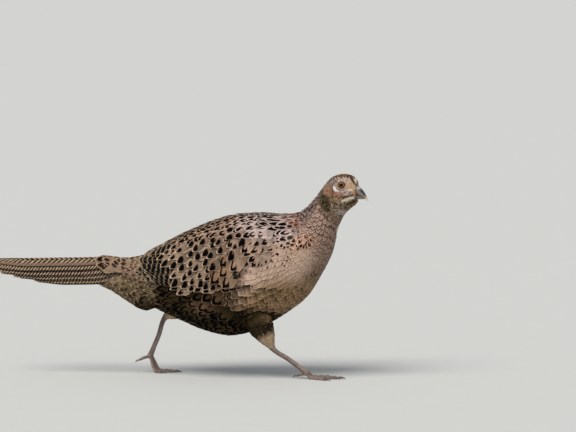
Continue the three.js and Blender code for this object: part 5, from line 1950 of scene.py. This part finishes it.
def lid_ring(name, centre, front, up, gaze):
    """A soft closed ring round the eye, a little almond-shaped, thicker above. The gaze attribute holds the
    distance from the line of sight."""
    around = turns(72)[:, None]
    turn = turns(14)
    almond = LID_RADIUS + 0.35 * np.cos(2 * around) - 0.25 * np.sin(around)
    out = almond + 1.25 * np.cos(turn) + 0.75
    deep = np.sqrt(EYE_RADIUS ** 2 - almond ** 2) - 0.35 + (0.75 + 0.2 * np.sin(around)) * np.sin(turn)
    across = front * (out * np.cos(around))[..., None] + up * (out * np.sin(around))[..., None]
    points = centre + across + gaze * deep[..., None]
    quads = grid_faces(73, 14, True) % (72 * 14)
    piece = make_piece(name, *outwards(points.reshape(-1, 3), quads))
    add_vector(piece, "gaze", np.stack([out] * 3, -1).reshape(-1, 3))
    return piece


class HEN_OT_eyes(bpy.types.Operator):
    """Make the eyeballs and their lids"""

    bl_idname = "hen.eyes"
    bl_label = "Eyes"

    def execute(self, context):
        wet = eye_material()
        bare = lid_material()
        place, angle = body_place(np.array([EYE[0]]), np.array([EYE[1]]), HEAD_FROM)
        for side, hand in SIDES:
            low, high = (np.array(corner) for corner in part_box(f"eye_{side}"))
            centre = (low + high) / 2 / MM - SHIFT
            face, out = (body_skin(place, hand * angle, np.array([rise]))[0] for rise in (0.0, 1.0))
            gaze = unit(out - face)
            up = unit(UP - gaze * gaze[2])
            axes = (centre, np.cross(up, gaze), up, gaze)
            dress(eyeball(f"{side}_eye", *axes), wet, "eye", f"eye_{side}")
            dress(lid_ring(f"{side}_lids", *axes), bare, "plumage_head")
        return {"FINISHED"}


class HEN_PT_panel(bpy.types.Panel):
    """The hen's pieces"""

    bl_idname = "HEN_PT_panel"
    bl_label = "Hen pheasant"
    bl_space_type = "VIEW_3D"
    bl_region_type = "UI"
    bl_category = "Pheasant"

    def draw(self, context):
        """A button for each step."""
        for name in OPERATORS:
            self.layout.operator(f"hen.{name}")


GROUPS = {"hen_sizes": HenSizes, "hen_colours": HenColours, "hen_stage": HenStage}
OPERATORS = ["skin", "body", "neck", "wings", "tail", "thighs", "legs", "bill", "eyes", "stage"]
CLASSES = [
    HenSizes, HenColours, HenStage, HEN_OT_skin, HEN_OT_body, HEN_OT_neck, HEN_OT_wings, HEN_OT_tail,
    HEN_OT_thighs, HEN_OT_legs, HEN_OT_bill, HEN_OT_eyes, HEN_OT_stage, HEN_PT_panel,
]


def register():
    """Adds the classes and their settings to Blender."""
    for cls in CLASSES:
        bpy.utils.register_class(cls)
    for name, group in GROUPS.items():
        setattr(bpy.types.Scene, name, bpy.props.PointerProperty(type=group))


def unregister():
    """Takes the settings and classes out again."""
    for name in GROUPS:
        delattr(bpy.types.Scene, name)
    for cls in reversed(CLASSES):
        bpy.utils.unregister_class(cls)


def main():
    """Builds the hen and its stage."""
    register()
    for name in OPERATORS:
        getattr(bpy.ops.hen, name)()


if __name__ == "__main__":
    main()
